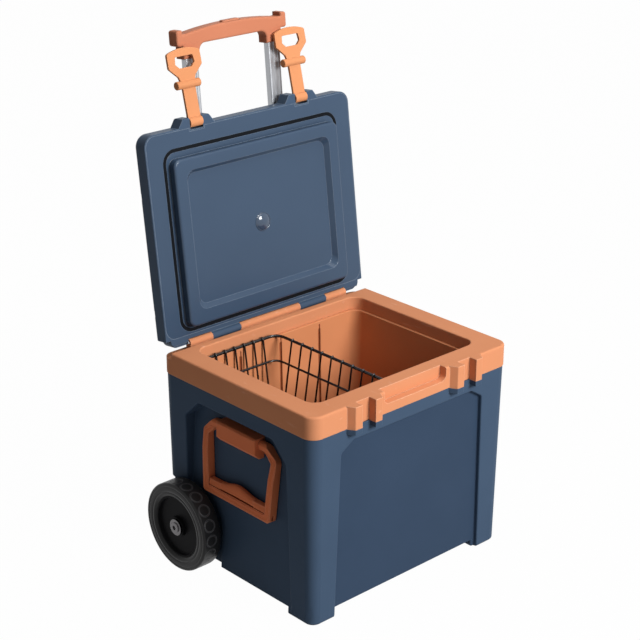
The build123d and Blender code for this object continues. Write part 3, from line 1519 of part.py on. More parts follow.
basket_middle = (basket_left + basket_right) / 2
basket_half_x = (basket_right - basket_left) / 2
outside_y = basket_half_y + basket_corner
outside_x = basket_half_x + basket_corner
meet_y = basket_half_y - basket_half_x
for direction, corners in (
        ("left", ((-outside_x, -outside_y), (0, -meet_y), (0, meet_y), (-outside_x, outside_y))),
        ("right", ((outside_x, outside_y), (0, meet_y), (0, -meet_y), (outside_x, -outside_y))),
        ("front", ((outside_x, -outside_y), (0, -meet_y), (-outside_x, -outside_y))),
        ("back", ((-outside_x, outside_y), (0, meet_y), (outside_x, outside_y)))):
    with BuildPart() as basket_side:
        add(basket_form.part)
        with BuildSketch(Plane.XY.offset(floor_top)):
            with BuildLine():
                Polyline(*[(basket_middle + x, y) for x, y in corners], close=True)
            make_face()
        extrude(amount=rim_top - floor_top, mode=Mode.INTERSECT)
    keep(basket_side, "basket_" + direction + "_side")
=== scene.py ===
# %% [markdown]
# # A wheeled cooler, dressed for its photograph
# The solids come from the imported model: body, tub, lid, latches, handles, wheels and basket.
# This file gives them their finishes, adds the fine surfaces that solids don't carry, and sets
# up the camera and the light. Lengths are in metres, in the same frame as the solids.

# %% Load the solids
import math
import bmesh
import bpy
import numpy as np
from mathutils import Matrix, Vector


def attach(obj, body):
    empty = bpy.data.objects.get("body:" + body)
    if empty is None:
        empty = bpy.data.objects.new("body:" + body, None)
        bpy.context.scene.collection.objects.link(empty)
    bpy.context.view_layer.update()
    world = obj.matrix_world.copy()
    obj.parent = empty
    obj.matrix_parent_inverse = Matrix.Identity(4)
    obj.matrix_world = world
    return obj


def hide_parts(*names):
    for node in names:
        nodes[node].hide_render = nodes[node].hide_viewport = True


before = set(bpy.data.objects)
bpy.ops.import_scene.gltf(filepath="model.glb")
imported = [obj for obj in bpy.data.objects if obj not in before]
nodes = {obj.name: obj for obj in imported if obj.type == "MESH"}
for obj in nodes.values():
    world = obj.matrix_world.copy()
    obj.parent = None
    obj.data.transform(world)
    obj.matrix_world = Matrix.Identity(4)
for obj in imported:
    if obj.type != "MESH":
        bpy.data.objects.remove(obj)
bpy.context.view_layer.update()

MM = 0.001
print(len(nodes), "solids loaded")

# %% [markdown]
# ## Helpers for materials
# A finish is a small network of nodes. It could be drawn by hand in the shader editor, but code
# can be read from top to bottom and run again. Five helpers keep it short: an input takes either
# a constant or another node's output, and the three node kinds used most, Math, Map Range and
# Mix, get a function each.

# %% Node helpers
def feed(tree, socket, value):
    """Joins a source socket to an input, or sets the input to a constant."""
    if isinstance(value, bpy.types.NodeSocket):
        tree.links.new(value, socket)
    else:
        socket.default_value = value


def put(tree, kind, **values):
    """Adds a node of one kind; sets its properties, and feeds its inputs by their names."""
    node = tree.nodes.new(kind)
    for name, value in values.items():
        if hasattr(node, name):
            setattr(node, name, value)
        else:
            feed(tree, node.inputs[name.replace("_", " ")], value)
    return node


def reckon(tree, operation, *inputs, use_clamp=False):
    """The result of a Math node whose inputs are sockets or numbers."""
    node = put(tree, "ShaderNodeMath", operation=operation, use_clamp=use_clamp)
    for socket, value in zip(node.inputs, inputs):
        feed(tree, socket, value)
    return node.outputs["Value"]


def ranged(tree, source, low, high, to_low=0.0, to_high=1.0, kind="LINEAR"):
    """The source mapped from low..high to to_low..to_high, and held inside it."""
    node = put(tree, "ShaderNodeMapRange", interpolation_type=kind, Value=source, From_Min=low,
               From_Max=high, To_Min=to_low, To_Max=to_high)
    return node.outputs["Result"]


def mixed(tree, factor, first, second, how="MIX"):
    """Two colours, sockets or plain, mixed by a factor."""
    node = put(tree, "ShaderNodeMix", data_type="RGBA", blend_type=how)
    for name, value in (("Factor", factor), ("A", first), ("B", second)):
        feed(tree, node.inputs[name], (*value, 1) if isinstance(value, tuple) else value)
    return node.outputs["Result"]


print("helpers feed, put, reckon, ranged and mixed are ready")

# %% [markdown]
# Two more helpers start things off. A material begins with its main shader and the coordinates
# that every pattern here reads. They are the object's own, so a pattern never slides when a
# piece moves. A group is a network with named inputs and outputs that many materials can share.

# %% Start a material or a group
def start_material(name):
    """A bare material: its node tree, its main shader and its object coordinates."""
    material = bpy.data.materials.new(name)
    material.use_nodes = True
    tree = material.node_tree
    tree.nodes.clear()
    out = put(tree, "ShaderNodeOutputMaterial")
    shader = put(tree, "ShaderNodeBsdfPrincipled")
    feed(tree, out.inputs["Surface"], shader.outputs["BSDF"])
    place = put(tree, "ShaderNodeTexCoord").outputs["Object"]
    return material, tree, shader, place


def new_group(name, inputs, outputs):
    """A shader node group with named inputs and outputs."""
    group = bpy.data.node_groups.new(name, "ShaderNodeTree")
    for label, kind, value in inputs:
        socket = group.interface.new_socket(label, in_out="INPUT", socket_type=kind)
        if value is not None:
            socket.default_value = value
    for label, kind in outputs:
        group.interface.new_socket(label, in_out="OUTPUT", socket_type=kind)
    return group, group.nodes.new("NodeGroupInput"), group.nodes.new("NodeGroupOutput")


FLOAT, VECTOR = "NodeSocketFloat", "NodeSocketVector"
print("start_material and new_group are ready")

# %% [markdown]
# ## Effects that several finishes share
# Moulded plastic is never flat. The tool leaves a fine spark-eroded grain, and the colour drifts
# a little across a wall. Both are noises of very different sizes. An image could show them as
# well, but a noise has no seams and no end.

# %% Group: moulded grain
grain, g_in, g_out = new_group(
    "moulded_grain",
    [("Place", VECTOR, None), ("Size", FLOAT, 900.0), ("Drift Size", FLOAT, 9.0)],
    [("Height", FLOAT), ("Drift", FLOAT)])
fine = put(grain, "ShaderNodeTexNoise", Detail=3.0, Roughness=0.6,
           Vector=g_in.outputs["Place"], Scale=g_in.outputs["Size"])
broad = put(grain, "ShaderNodeTexNoise", Detail=2.0, Roughness=0.5,
            Vector=g_in.outputs["Place"], Scale=g_in.outputs["Drift Size"])
feed(grain, g_out.inputs["Height"], fine.outputs["Fac"])
feed(grain, g_out.inputs["Drift"], broad.outputs["Fac"])
print("group", grain.name)

# %% [markdown]
# Corners wear paler where hands and straps touch them, and edges catch the light, so one mask
# paints both: wear and painted highlight. A Bevel node gives the normal that a rounded edge
# would have. Where it turns away from the true normal there is an edge, so their dot product
# makes a mask, which a noise breaks up. The rounded normal goes out too, because it also makes a
# sharp edge catch the light.

# %% Group: worn and lit edges, wear and painted highlight
edges, e_in, e_out = new_group(
    "worn_and_lit_edges",
    [("Place", VECTOR, None), ("Radius", FLOAT, 0.0015), ("Breakup", FLOAT, 60.0)],
    [("Mask", FLOAT), ("Normal", VECTOR)])
round_off = put(edges, "ShaderNodeBevel", samples=6, Radius=e_in.outputs["Radius"])
true_normal = put(edges, "ShaderNodeNewGeometry").outputs["Normal"]
agree = put(edges, "ShaderNodeVectorMath", operation="DOT_PRODUCT")
feed(edges, agree.inputs[0], round_off.outputs["Normal"])
feed(edges, agree.inputs[1], true_normal)
turned_away = ranged(edges, agree.outputs["Value"], 0.995, 0.9)
breakup = put(edges, "ShaderNodeTexNoise", Detail=4.0, Vector=e_in.outputs["Place"],
              Scale=e_in.outputs["Breakup"])
feed(edges, e_out.inputs["Mask"],
     reckon(edges, "MULTIPLY", turned_away, breakup.outputs["Fac"]))
feed(edges, e_out.inputs["Normal"], round_off.outputs["Normal"])
print("group", edges.name)

# %% [markdown]
# Narrow gaps look dark, since little light gets in and dust stays there, so the mask paints them
# darker: painted shade, with some dirt. Ambient occlusion measures how closed in a point is
# within a short reach, and the darkest part of that range becomes the mask. A short reach keeps
# it out of wide corners, where the lamps do the work.

# %% Group: shaded gaps
gaps, p_in, p_out = new_group("shaded_gaps", [("Reach", FLOAT, 0.005)], [("Mask", FLOAT)])
closed_in = put(gaps, "ShaderNodeAmbientOcclusion", samples=4, Distance=p_in.outputs["Reach"])
feed(gaps, p_out.inputs["Mask"],
     ranged(gaps, closed_in.outputs["AO"], 0.62, 0.15, kind="SMOOTHSTEP"))
print("group", gaps.name)

# %% [markdown]
# ## Plastics and rubbers
# The body, lid and collar are the same kind of plastic in two colours, and the latches, tyres
# and seal are rubber. Each could have a network of its own, but one function builds them all: a
# base colour that drifts between two near shades, painted shade in narrow gaps, a paler band
# along the edges that is partly wear and partly painted highlight, a roughness that follows the
# grain, and a bump. The numbers are what differ.

# %% Moulded finish
# painted shade, with some dirt, for narrow gaps
gap_shade_and_dirt = (0.16, 0.15, 0.15)


def textured(tree, shader, height, normal, rough, spread, bump, depth):
    """Roughness and bump that follow one pattern, on top of a rounded normal."""
    feed(tree, shader.inputs["Roughness"],
         ranged(tree, height, 0.0, 1.0, rough - spread, rough + spread))
    relief = put(tree, "ShaderNodeBump", Strength=bump, Distance=depth, Height=height,
                 Normal=normal)
    feed(tree, shader.inputs["Normal"], relief.outputs["Normal"])


def moulded(name, colour, deeper, wear_and_highlight_colour, rough=0.5, grain_size=900.0, bump=0.12,
            edge=0.0015, wear_and_highlight=0.5, specular=0.03, extra=None, reach=0.005):
    """Plastic or rubber: colour drifts to a deeper shade, is paler at edges (wear and painted
    highlight) and darker in gaps (painted shade).
    """
    material, tree, shader, place = start_material(name)
    skin = put(tree, "ShaderNodeGroup", node_tree=grain, Place=place, Size=grain_size)
    rim = put(tree, "ShaderNodeGroup", node_tree=edges, Place=place, Radius=edge)
    gap = put(tree, "ShaderNodeGroup", node_tree=gaps, Reach=reach)
    tone = mixed(tree, skin.outputs["Drift"], colour, deeper)
    if extra:
        tone = extra(tree, place, tone)
    # painted shade, with some dirt, darkens narrow gaps
    tone = mixed(tree, gap.outputs["Mask"], tone, gap_shade_and_dirt, "MULTIPLY")
    # paler edges: partly wear, partly painted highlight
    worn_and_lit = reckon(tree, "MULTIPLY", rim.outputs["Mask"], wear_and_highlight)
    feed(tree, shader.inputs["Base Color"], mixed(tree, worn_and_lit, tone, wear_and_highlight_colour))
    textured(tree, shader, skin.outputs["Height"], rim.outputs["Normal"], rough, 0.06, bump,
             0.2 * MM)
    shader.inputs["Specular IOR Level"].default_value = specular
    return material


print("moulded finish is ready")

# %% [markdown]
# Some finishes need one more mask between the base colour and the paler edges of wear and
# painted highlight. A mask could be painted, but a few bands of the coordinates say the same and
# stay sharp from close by. These helpers make a band, and blend a colour in where a mask is.

# %% Bands and tints
def band(tree, source, centre, half, soft):
    """1 within half of the centre, falling to 0 over a soft edge."""
    far = reckon(tree, "ABSOLUTE", reckon(tree, "SUBTRACT", source, centre))
    return ranged(tree, far, half + soft, half, kind="SMOOTHSTEP")


def tinted(tree, tone, mask, colour, amount, how="MULTIPLY"):
    """The colour so far, blended with another where the mask is."""
    return mixed(tree, reckon(tree, "MULTIPLY", mask, amount), tone, colour, how)


def axes_of(tree, place):
    """The three coordinates of a point as separate values."""
    return put(tree, "ShaderNodeSeparateXYZ", Vector=place).outputs


print("band, tinted and axes_of are ready")

# %% [markdown]
# The floor of the long front recess is painted darker than the posts beside it, as painted
# shade, and the divider slots in the tub get painted shade too. Both follow the moulding's own
# sizes: the front leans back a little with height, so its plane is found from y and z together,
# and the slots repeat along x, so the coordinate is folded and one band marks them all.

# %% Painted shade that follows the moulding
front_lean, panel_plane, panel_half = 0.0148, -244.1 * MM, 200 * MM
slot_spacing, slot_half, slots_end = 105 * MM, 3.2 * MM, 130 * MM
slot_middle, slot_reach = 200 * MM, 185 * MM


def painted_panel_shade(tree, place, tone):
    """The floor of the front recess is painted darker than the posts around it: painted shade.
    """
    x, y, z = axes_of(tree, place)
    depth = reckon(tree, "MULTIPLY_ADD", z, front_lean, y)
    mask = reckon(tree, "MULTIPLY", band(tree, depth, panel_plane, 3.5 * MM, 1 * MM),
                  band(tree, x, 0.0, panel_half, 6 * MM))
    return tinted(tree, tone, mask, (0.68, 0.7, 0.74), 1.0)


def painted_slot_shade(tree, place, tone):
    """Painted shade in the three divider slots makes them darker than the tub's walls."""
    x, _, z = axes_of(tree, place)
    fold = reckon(tree, "PINGPONG", x, slot_spacing / 2)
    across = reckon(tree, "MULTIPLY", band(tree, fold, 0.0, slot_half, 0.8 * MM),
                    band(tree, x, 0.0, slots_end, 10 * MM))
    mask = reckon(tree, "MULTIPLY", across, band(tree, z, slot_middle, slot_reach, 3 * MM))
    return tinted(tree, tone, mask, (0.45, 0.27, 0.18), 1.0)


print("masks painted_panel_shade and painted_slot_shade are ready")

# %% [markdown]
# Use leaves marks too: pale smudges on the collar where hands lift the lid, and paler edges
# round the tyre's rings, partly scuffs and partly painted highlight. The smudges are a noise,
# stretched so that they run back and forth. The rings' edges come from the tyre's mesh, which
# marks them when it is made further down.

# %% Masks that show use, and painted highlight on the tyre's rings
def smudges(tree, place, tone):
    """Pale streaks, broken up by a coarse noise."""
    pull = put(tree, "ShaderNodeMapping", Scale=(1.0, 0.35, 1.6), Vector=place)
    cloud = put(tree, "ShaderNodeTexNoise", Detail=5.0, Roughness=0.65, Scale=55.0,
                Vector=pull.outputs["Vector"])
    mask = ranged(tree, cloud.outputs["Fac"], 0.6, 0.78, kind="SMOOTHSTEP")
    return tinted(tree, tone, mask, (0.8, 0.5, 0.38), 0.35, "MIX")


def ring_wear_and_highlight(tree, place, tone):
    """Rubber is paler on the edges of the tread's rings, which the mesh marks: scuffs and
    painted highlight.
    """
    mark = put(tree, "ShaderNodeAttribute", attribute_name="ring")
    return tinted(tree, tone, mark.outputs["Fac"], (0.17, 0.17, 0.18), 0.55, "MIX")


print("masks smudges and ring_wear_and_highlight are ready")

# %% [markdown]
# Now the finishes themselves. The navy parts are close but not equal: the lid is painted a touch
# lighter than the body for the light it takes, with stronger painted highlights on its edges,
# its lining is glossier and has painted shade in its deep groove, and its port cap is polished.

# %% Navy plastics
# painted shade on the floor of the front recess
navy = moulded("navy_plastic", (0.052, 0.084, 0.137), (0.043, 0.071, 0.117),
               (0.17, 0.23, 0.31), rough=0.42, edge=1.6 * MM, wear_and_highlight=0.8, extra=painted_panel_shade)
# painted light: a touch lighter than the body, with stronger painted edge highlights
lid_navy = moulded("lid_plastic", (0.055, 0.087, 0.14), (0.048, 0.077, 0.125),
                   (0.28, 0.34, 0.42), rough=0.36, edge=2 * MM, wear_and_highlight=1.0, specular=0.06)
# a long reach paints shade into the deep groove round the plug
lining_navy = moulded("lining_plastic", (0.042, 0.072, 0.122), (0.037, 0.064, 0.109),
                      (0.26, 0.32, 0.4), rough=0.24, edge=1.4 * MM, wear_and_highlight=1.0, specular=0.26,
                      reach=24 * MM)
cap_gloss = moulded("cap_plastic", (0.04, 0.066, 0.11), (0.034, 0.056, 0.095),
                    (0.2, 0.26, 0.34), rough=0.12, edge=0.6 * MM, specular=0.6)
print("four navy finishes made")

# %% [markdown]
# The orange parts come from different moulds and materials, and age differently: the collar is
# chalky, the tub is clean, the side handles are redder, the latches are a soft paler rubber, and
# the rail handle's grip is the pinkest.

# %% Orange plastics and rubber
# painted highlight, with some wear, along the collar's edges
orange = moulded("orange_plastic", (0.65, 0.272, 0.136), (0.58, 0.228, 0.11),
                 (0.86, 0.52, 0.36), rough=0.5, edge=2.4 * MM, wear_and_highlight=0.95, extra=smudges)
# painted shade in the divider slots
tub_orange = moulded("tub_plastic", (0.63, 0.252, 0.115), (0.56, 0.21, 0.092),
                     (0.85, 0.45, 0.28), rough=0.45, edge=2 * MM, extra=painted_slot_shade,
                     reach=1.2 * MM)
# painted highlight, with some wear, along the handles' edges
handle_orange = moulded("handle_orange", (0.76, 0.215, 0.09), (0.68, 0.18, 0.075),
                        (0.95, 0.46, 0.28), rough=0.42, edge=2.4 * MM, wear_and_highlight=0.85,
                        grain_size=1400.0)
latch_orange = moulded("latch_rubber", (0.66, 0.28, 0.128), (0.6, 0.245, 0.108),
                       (0.85, 0.45, 0.28), rough=0.48, edge=1.2 * MM, grain_size=700.0)
grip_orange = moulded("grip_orange", (0.55, 0.205, 0.115), (0.49, 0.175, 0.095),
                      (0.75, 0.36, 0.24), rough=0.38, edge=5 * MM, grain_size=1400.0)
print("five orange finishes made")

# %% [markdown]
# Black rubber and plastic are never quite black, or their shape would be lost: the tyres are a
# dark grey with some gloss, and the hubs, brackets and seal are deeper. The foam is out of sight
# inside the walls, but whoever takes the body apart finds it cream and coarse.

# %% Black parts and foam
# paler ring edges are partly scuffs and partly painted highlight
rubber = moulded("tyre_rubber", (0.022, 0.022, 0.023), (0.013, 0.013, 0.014),
                 (0.1, 0.1, 0.105), rough=0.34, edge=1 * MM, grain_size=600.0, wear_and_highlight=0.6,
                 specular=0.14, extra=ring_wear_and_highlight)
black = moulded("black_plastic", (0.008, 0.008, 0.009), (0.005, 0.005, 0.006),
                (0.03, 0.03, 0.032), rough=0.42, edge=1 * MM)
seal = moulded("seal_rubber", (0.008, 0.009, 0.011), (0.005, 0.006, 0.008),
               (0.03, 0.033, 0.038), rough=0.6, edge=0.6 * MM, specular=0.04)
foam = moulded("foam", (0.75, 0.66, 0.42), (0.68, 0.58, 0.35), (0.8, 0.75, 0.6),
               rough=0.85, grain_size=260.0, bump=0.5)
print("three black finishes and the foam made")

# %% [markdown]
# ## Metals
# The rail tubes are anodised aluminium with faint lengthwise draw lines, the pins and bolts are
# steel, and the basket is wire under a glossy black coat. Draw lines are a noise that is
# stretched along the tube by scaling its coordinates unevenly. The same noise moves the colour,
# the roughness and the bump, as a real scratch does.

# %% Metal finishes
def metal(name, colour, rough, stretch, metallic=1.0, bump=0.08, size=500.0, contrast=0.86):
    """Metal whose fine lines run along the direction that stretch scales least."""
    material, tree, shader, place = start_material(name)
    pull = put(tree, "ShaderNodeMapping", Scale=stretch, Vector=place)
    lines = put(tree, "ShaderNodeTexNoise", Detail=4.0, Scale=size,
                Vector=pull.outputs["Vector"]).outputs["Fac"]
    darker = tuple(c * contrast for c in colour)
    feed(tree, shader.inputs["Base Color"], mixed(tree, lines, darker, colour))
    rim = put(tree, "ShaderNodeGroup", node_tree=edges, Place=place, Radius=0.8 * MM)
    textured(tree, shader, lines, rim.outputs["Normal"], rough, 0.08, bump, 0.1 * MM)
    shader.inputs["Metallic"].default_value = metallic
    return material


even = (1.0, 1.0, 1.0)
tube_metal = metal("anodised_tube", (0.5, 0.515, 0.54), 0.46, (1.0, 1.0, 0.02), size=260.0,
                   contrast=0.55)
steel = metal("bright_steel", (0.62, 0.62, 0.63), 0.25, (0.2, 1.0, 1.0))
dull_steel = metal("dull_steel", (0.13, 0.125, 0.13), 0.24, even, size=900.0)
wire_coat = metal("coated_wire", (0.007, 0.007, 0.008), 0.22, even, metallic=0.0, bump=0.15,
                  size=300.0)
print("metal finishes made")

# %% [markdown]
# ## Who wears what
# Each solid keeps its own mesh and only gets a material. A table of finishes and names could be
# long, so names that begin alike are gathered by their first words. The last line shows that no
# solid is left out.

# %% Give each solid its finish
def named(*starts):
    """The names of the solids that begin with one of these words."""
    return [name for name in nodes if name.startswith(starts)]


finishes = [
    (navy, ["outer_shell"]),
    (lid_navy, ["lid_shell"]),
    (lining_navy, ["lid_liner", "lid_port_cap"]),
    (tub_orange, ["tub_liner"]),
    (orange, ["rim_collar", "drain_fitting", "drain_plug"]),
    (handle_orange, named("handle_cover", "handle_frame", "handle_grip")),
    (grip_orange, ["trolley_grip", "release_button"]),
    (latch_orange, ["latch_left", "latch_right"]),
    (rubber, named("tyre")),
    (black, named("wheel_hub", "wheel_mount", "wheel_bush", "guide_bush", "mid_bush",
                  "upper_rail", "lower_rail")),
    (seal, ["lid_gasket", "drain_seal"]),
    (foam, ["insulation_foam", "lid_foam"]),
    (tube_metal, named("guide_tube", "mid_tube", "top_tube")),
    (steel, named("latch_pin", "handle_pin", "stub_axle", "release_rod", "hinge_pin",
                  "mount_screws", "bracket_screws")),
    (dull_steel, named("axle_bolt")),
    (wire_coat, named("basket_")),
]
finished = set()
for material, names in finishes:
    for name in names:
        nodes[name].data.materials.clear()
        nodes[name].data.materials.append(material)
    finished.update(names)
    print(material.name, "on", len(names))
print(len(finished), "solids finished,", sorted(set(nodes) - finished), "left")

# %% [markdown]
# ## Surfaces made of numbers
# Some pieces are better drawn here than as solids: the ringed tyres, the basket's round wires,
# the soft hand grips and small turned parts. They could be sculpted or built from modifiers, but
# a formula gives the same shape every time. Each piece is a grid of points worked out in whole
# arrays. One helper turns grids into a mesh, welds points that meet, and makes every closed
# piece face outward.

# %% Grids to meshes
def surface(name, *grids):
    """One mesh from grids; each is (points [pieces, rows, columns, 3], closed_u, closed_v).

    A face joins each point to its neighbours along the row and the column. A closed piece
    whose signed volume, the sum of a . (b x c) / 6 over its triangles, is negative is flipped.
    """
    spots, quads, start = [], [], 0
    for points, closed_u, closed_v in grids:
        pieces, rows, columns = points.shape[:3]
        index = np.arange(pieces * rows * columns).reshape(pieces, rows, columns)
        if closed_u:
            index = np.concatenate([index, index[:, :1]], 1)
        if closed_v:
            index = np.concatenate([index, index[:, :, :1]], 2)
        faces = np.stack([index[:, :-1, :-1], index[:, 1:, :-1],
                          index[:, 1:, 1:], index[:, :-1, 1:]], -1).reshape(pieces, -1, 4)
        corner = points.reshape(-1, 3)[faces]
        a, b, c, d = (corner[..., k, :] for k in range(4))
        volume = (a * (np.cross(b, c) + np.cross(c, d))).sum((1, 2))
        faces = np.where((volume < 0)[:, None, None], faces[..., ::-1], faces)
        spots.append(points.reshape(-1, 3))
        quads.append(faces.reshape(-1, 4) + start)
        start += pieces * rows * columns
    mesh = bpy.data.meshes.new(name)
    mesh.from_pydata(np.concatenate(spots).tolist(), [], np.concatenate(quads).tolist())
    work = bmesh.new()
    work.from_mesh(mesh)
    bmesh.ops.remove_doubles(work, verts=work.verts, dist=1e-6)
    work.to_mesh(mesh)
    work.free()
    mesh.polygons.foreach_set("use_smooth", np.ones(len(mesh.polygons), bool))
    thing = bpy.data.objects.new(name, mesh)
    bpy.context.scene.collection.objects.link(thing)
    print(name, len(mesh.polygons), "faces")
    return thing


SIDES = ((-1, "left"), (1, "right"))
print("surface is ready")

# %% [markdown]
# ## Tyres
# A tyre is a profile turned about the axle. The profile is a closed line in radius and width;
# turned through many steps it gives a grid. A bump map could draw the tread's rings, but they
# would vanish at the tyre's outline. So they are pressed into the grid: a point that lies near a
# circle drawn on the tread sinks a little, and each ring is a real groove.

# %% Tyre profile
axle_y, axle_z, inner_x = 88.5 * MM, 90 * MM, 258 * MM
outer_r, bead_r, tyre_w, shoulder, tread_rows = 90 * MM, 62 * MM, 42 * MM, 4 * MM, 58
wall_r = np.array([86, 84.5, 83.2, 82.8, 82.4, 82, 80.5, 76, 72.4, 72, 71.6, 71.2, 69, 66]) * MM
wall_lines, line_depth, line_soft = (82.6 * MM, 71.8 * MM), 0.6 * MM, 0.45 * MM


def tyre_profile():
    """Radius and width along the profile: inner wall, tread, outer wall and bead."""
    turn = np.linspace(0, 0.5 * np.pi, 7)
    tread = np.linspace(shoulder, tyre_w - shoulder, tread_rows)
    sunk = sum(np.exp(-((wall_r - at) / line_soft) ** 2) for at in wall_lines)
    radius = np.concatenate([[bead_r, bead_r + shoulder],
                             outer_r - shoulder + shoulder * np.sin(turn[:-1]),
                             np.full(tread_rows, outer_r),
                             outer_r - shoulder + shoulder * np.cos(turn[1:-1]),
                             wall_r, [bead_r]])
    width = np.concatenate([[shoulder, 0], shoulder * (1 - np.cos(turn[:-1])), tread,
                            tyre_w - shoulder * (1 - np.sin(turn[1:-1])),
                            tyre_w - line_depth * sunk, [tyre_w - shoulder]])
    return radius, width


print("tyre profile of", len(tyre_profile()[0]), "points")

# %% Tyres with ring tread
ring_count, ring_r, ring_at = 18, 11.5 * MM, 24.5 * MM
ring_depth, ring_soft, ring_mark_at, ring_mark_soft = 0.8 * MM, 0.75 * MM, 1.1 * MM, 0.5 * MM


def tyre_points(side, steps=720):
    """Points of one tyre, side -1 or 1, as a grid [1, steps, profile, 3], and a mask.

    On the tread a point at arc length s = r * angle and width w sinks by
    ring_depth * exp(-((d - ring_r) / ring_soft)^2), where d is its distance from the nearest
    ring's middle. The mask is 1 at the rings' edges, where d is ring_mark_at from ring_r.
    """
    radius, width = tyre_profile()
    angle = np.linspace(0, 2 * np.pi, steps, endpoint=False)
    pitch = 2 * np.pi / ring_count
    along = outer_r * ((angle + pitch / 2) % pitch - pitch / 2)
    away = np.hypot(along[:, None], width[None] - ring_at)
    on_tread = radius > outer_r - 0.01 * MM
    groove = ring_depth * np.exp(-((away - ring_r) / ring_soft) ** 2) * on_tread
    # paler ring edges: partly scuffs, partly painted highlight
    ring_edge = np.exp(-((np.abs(away - ring_r) - ring_mark_at) / ring_mark_soft) ** 2) * on_tread
    r = radius[None] - groove
    x = side * (inner_x + np.broadcast_to(width, r.shape))
    return np.stack([x, axle_y + r * np.cos(angle)[:, None],
                     axle_z + r * np.sin(angle)[:, None]], -1)[None], ring_edge


for side, word in SIDES:
    tyre_grid, ring_edge = tyre_points(side)
    tyre = surface("tyre_tread_" + word, (tyre_grid, True, True))
    mark = tyre.data.attributes.new("ring", "FLOAT", "POINT")
    mark.data.foreach_set("value", ring_edge.reshape(-1).astype(np.float32))
    tyre.data.materials.append(rubber)
    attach(tyre, "wheel_" + word[0])
    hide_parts("tyre_" + word)

# %% [markdown]
# ## Wire basket
# The basket is welded from bent wire. A curve object with a round bevel could do it, but one
# array does all wires at once and gives clean closed skins. A wire is a few corner points with
# each corner eased by a short curve, and a circle carried along that path.

# %% Eased paths
def eased(corners, reach, steps=8, closed=False):
    """Paths through corners [wires, count, 3] with each corner P eased.

    Between A and B, which lie at reach from P towards its neighbours, the path is
    (1 - s)^2 A + 2 s (1 - s) P + s^2 B.
    """
    before, after = np.roll(corners, 1, 1) - corners, np.roll(corners, -1, 1) - corners
    reach = np.asarray(reach, float).reshape(1, -1, 1)
    a = corners + reach * before / np.linalg.norm(before, axis=-1, keepdims=True)
    b = corners + reach * after / np.linalg.norm(after, axis=-1, keepdims=True)
    s = np.linspace(0, 1, steps)[None, None, :, None]
    curve = ((1 - s) ** 2 * a[:, :, None] + 2 * s * (1 - s) * corners[:, :, None]
             + s ** 2 * b[:, :, None])
    if closed:
        return curve.reshape(len(corners), -1, 3)
    inside = curve[:, 1:-1].reshape(len(corners), -1, 3)
    return np.concatenate([corners[:, :1], inside, corners[:, -1:]], 1)


print("eased is ready")

# %% Round wires
def wires(path, radius, across, sides=14, closed=False):
    """Skin of round wires along paths [wires, steps, 3], as a grid for surface().

    With the tangent t, n = t x across and b = t x n, a point is p + r (n cos a + b sin a).
    """
    step = np.roll(path, -1, 1) - np.roll(path, 1, 1) if closed else np.gradient(path, axis=1)
    t = step / np.linalg.norm(step, axis=-1, keepdims=True)
    n = np.cross(t, np.array(across, float))
    n = n / np.linalg.norm(n, axis=-1, keepdims=True)
    b = np.cross(t, n)
    a = np.linspace(0, 2 * np.pi, sides, endpoint=False)[:, None]
    skin = path[:, :, None] + radius * (n[:, :, None] * np.cos(a) + b[:, :, None] * np.sin(a))
    if not closed:
        cap = np.ones((1, 1, sides, 1))
        skin = np.concatenate([path[:, :1, None] * cap, skin, path[:, -1:, None] * cap], 1)
    return skin, closed, True


print("wires is ready")

# %% [markdown]
# The basket hangs by its rim wire on the tub's ledge. A second ring stiffens it halfway down,
# and nine cross wires and six long ones hook over the rim, run down the leaning sides and make
# the floor, the long ones lying on the cross ones.

# %% Shapes of the basket's wires
stance = np.array([0, -45.5 * MM, 0])
left, right, half_y = -208.7 * MM, -8 * MM, 164 * MM
top_z, floor_z, ring_z, ring_inset = 406 * MM, 258 * MM, 361 * MM, 15.2 * MM
rim_wire, ring_wire, wire_r, layer = 2.9 * MM, 2.2 * MM, 1.85 * MM, 3.4 * MM
hook, low_bend, lean, inner = 4.2 * MM, 9 * MM, 24 * MM, 4.1 * MM
cross_count, cross_margin, long_count, long_margin = 9, 45.6 * MM, 6, 36.3 * MM


def ring_path(inset, z, ease):
    """One closed ring of the basket, drawn in from the rim by inset."""
    x0, x1, y1 = left + inset, right - inset, half_y - inset
    corners = np.array([[[x0, -y1, z], [x1, -y1, z], [x1, y1, z], [x0, y1, z]]]) + stance
    return eased(corners, [ease] * 4, steps=14, closed=True)


def ends(x0, y0, x1, y1):
    """Both ends of each wire, seen from above, as [wires, 2, 2]."""
    x0, y0, x1, y1 = np.broadcast_arrays(x0, y0, x1, y1)
    return np.stack([np.stack([x0, y0], -1), np.stack([x1, y1], -1)], 1)


def bent(start, low, floor):
    """Wires that hook over the rim at both ends; start and low come from ends()."""
    out = start[:, ::-1] - start
    out = out / np.linalg.norm(out, axis=-1, keepdims=True)
    flat = np.stack([start[:, 0], start[:, 0] + hook * out[:, 0], low[:, 0], low[:, 1],
                     start[:, 1] + hook * out[:, 1], start[:, 1]], 1)
    high = top_z + hook
    z = np.broadcast_to(np.array([high, high, floor, floor, high, high]), (len(start), 6))
    return eased(np.concatenate([flat, z[..., None]], -1) + stance,
                 [0, 0.9 * hook, low_bend, low_bend, 0.9 * hook, 0])


print("ring_path, ends and bent are ready")

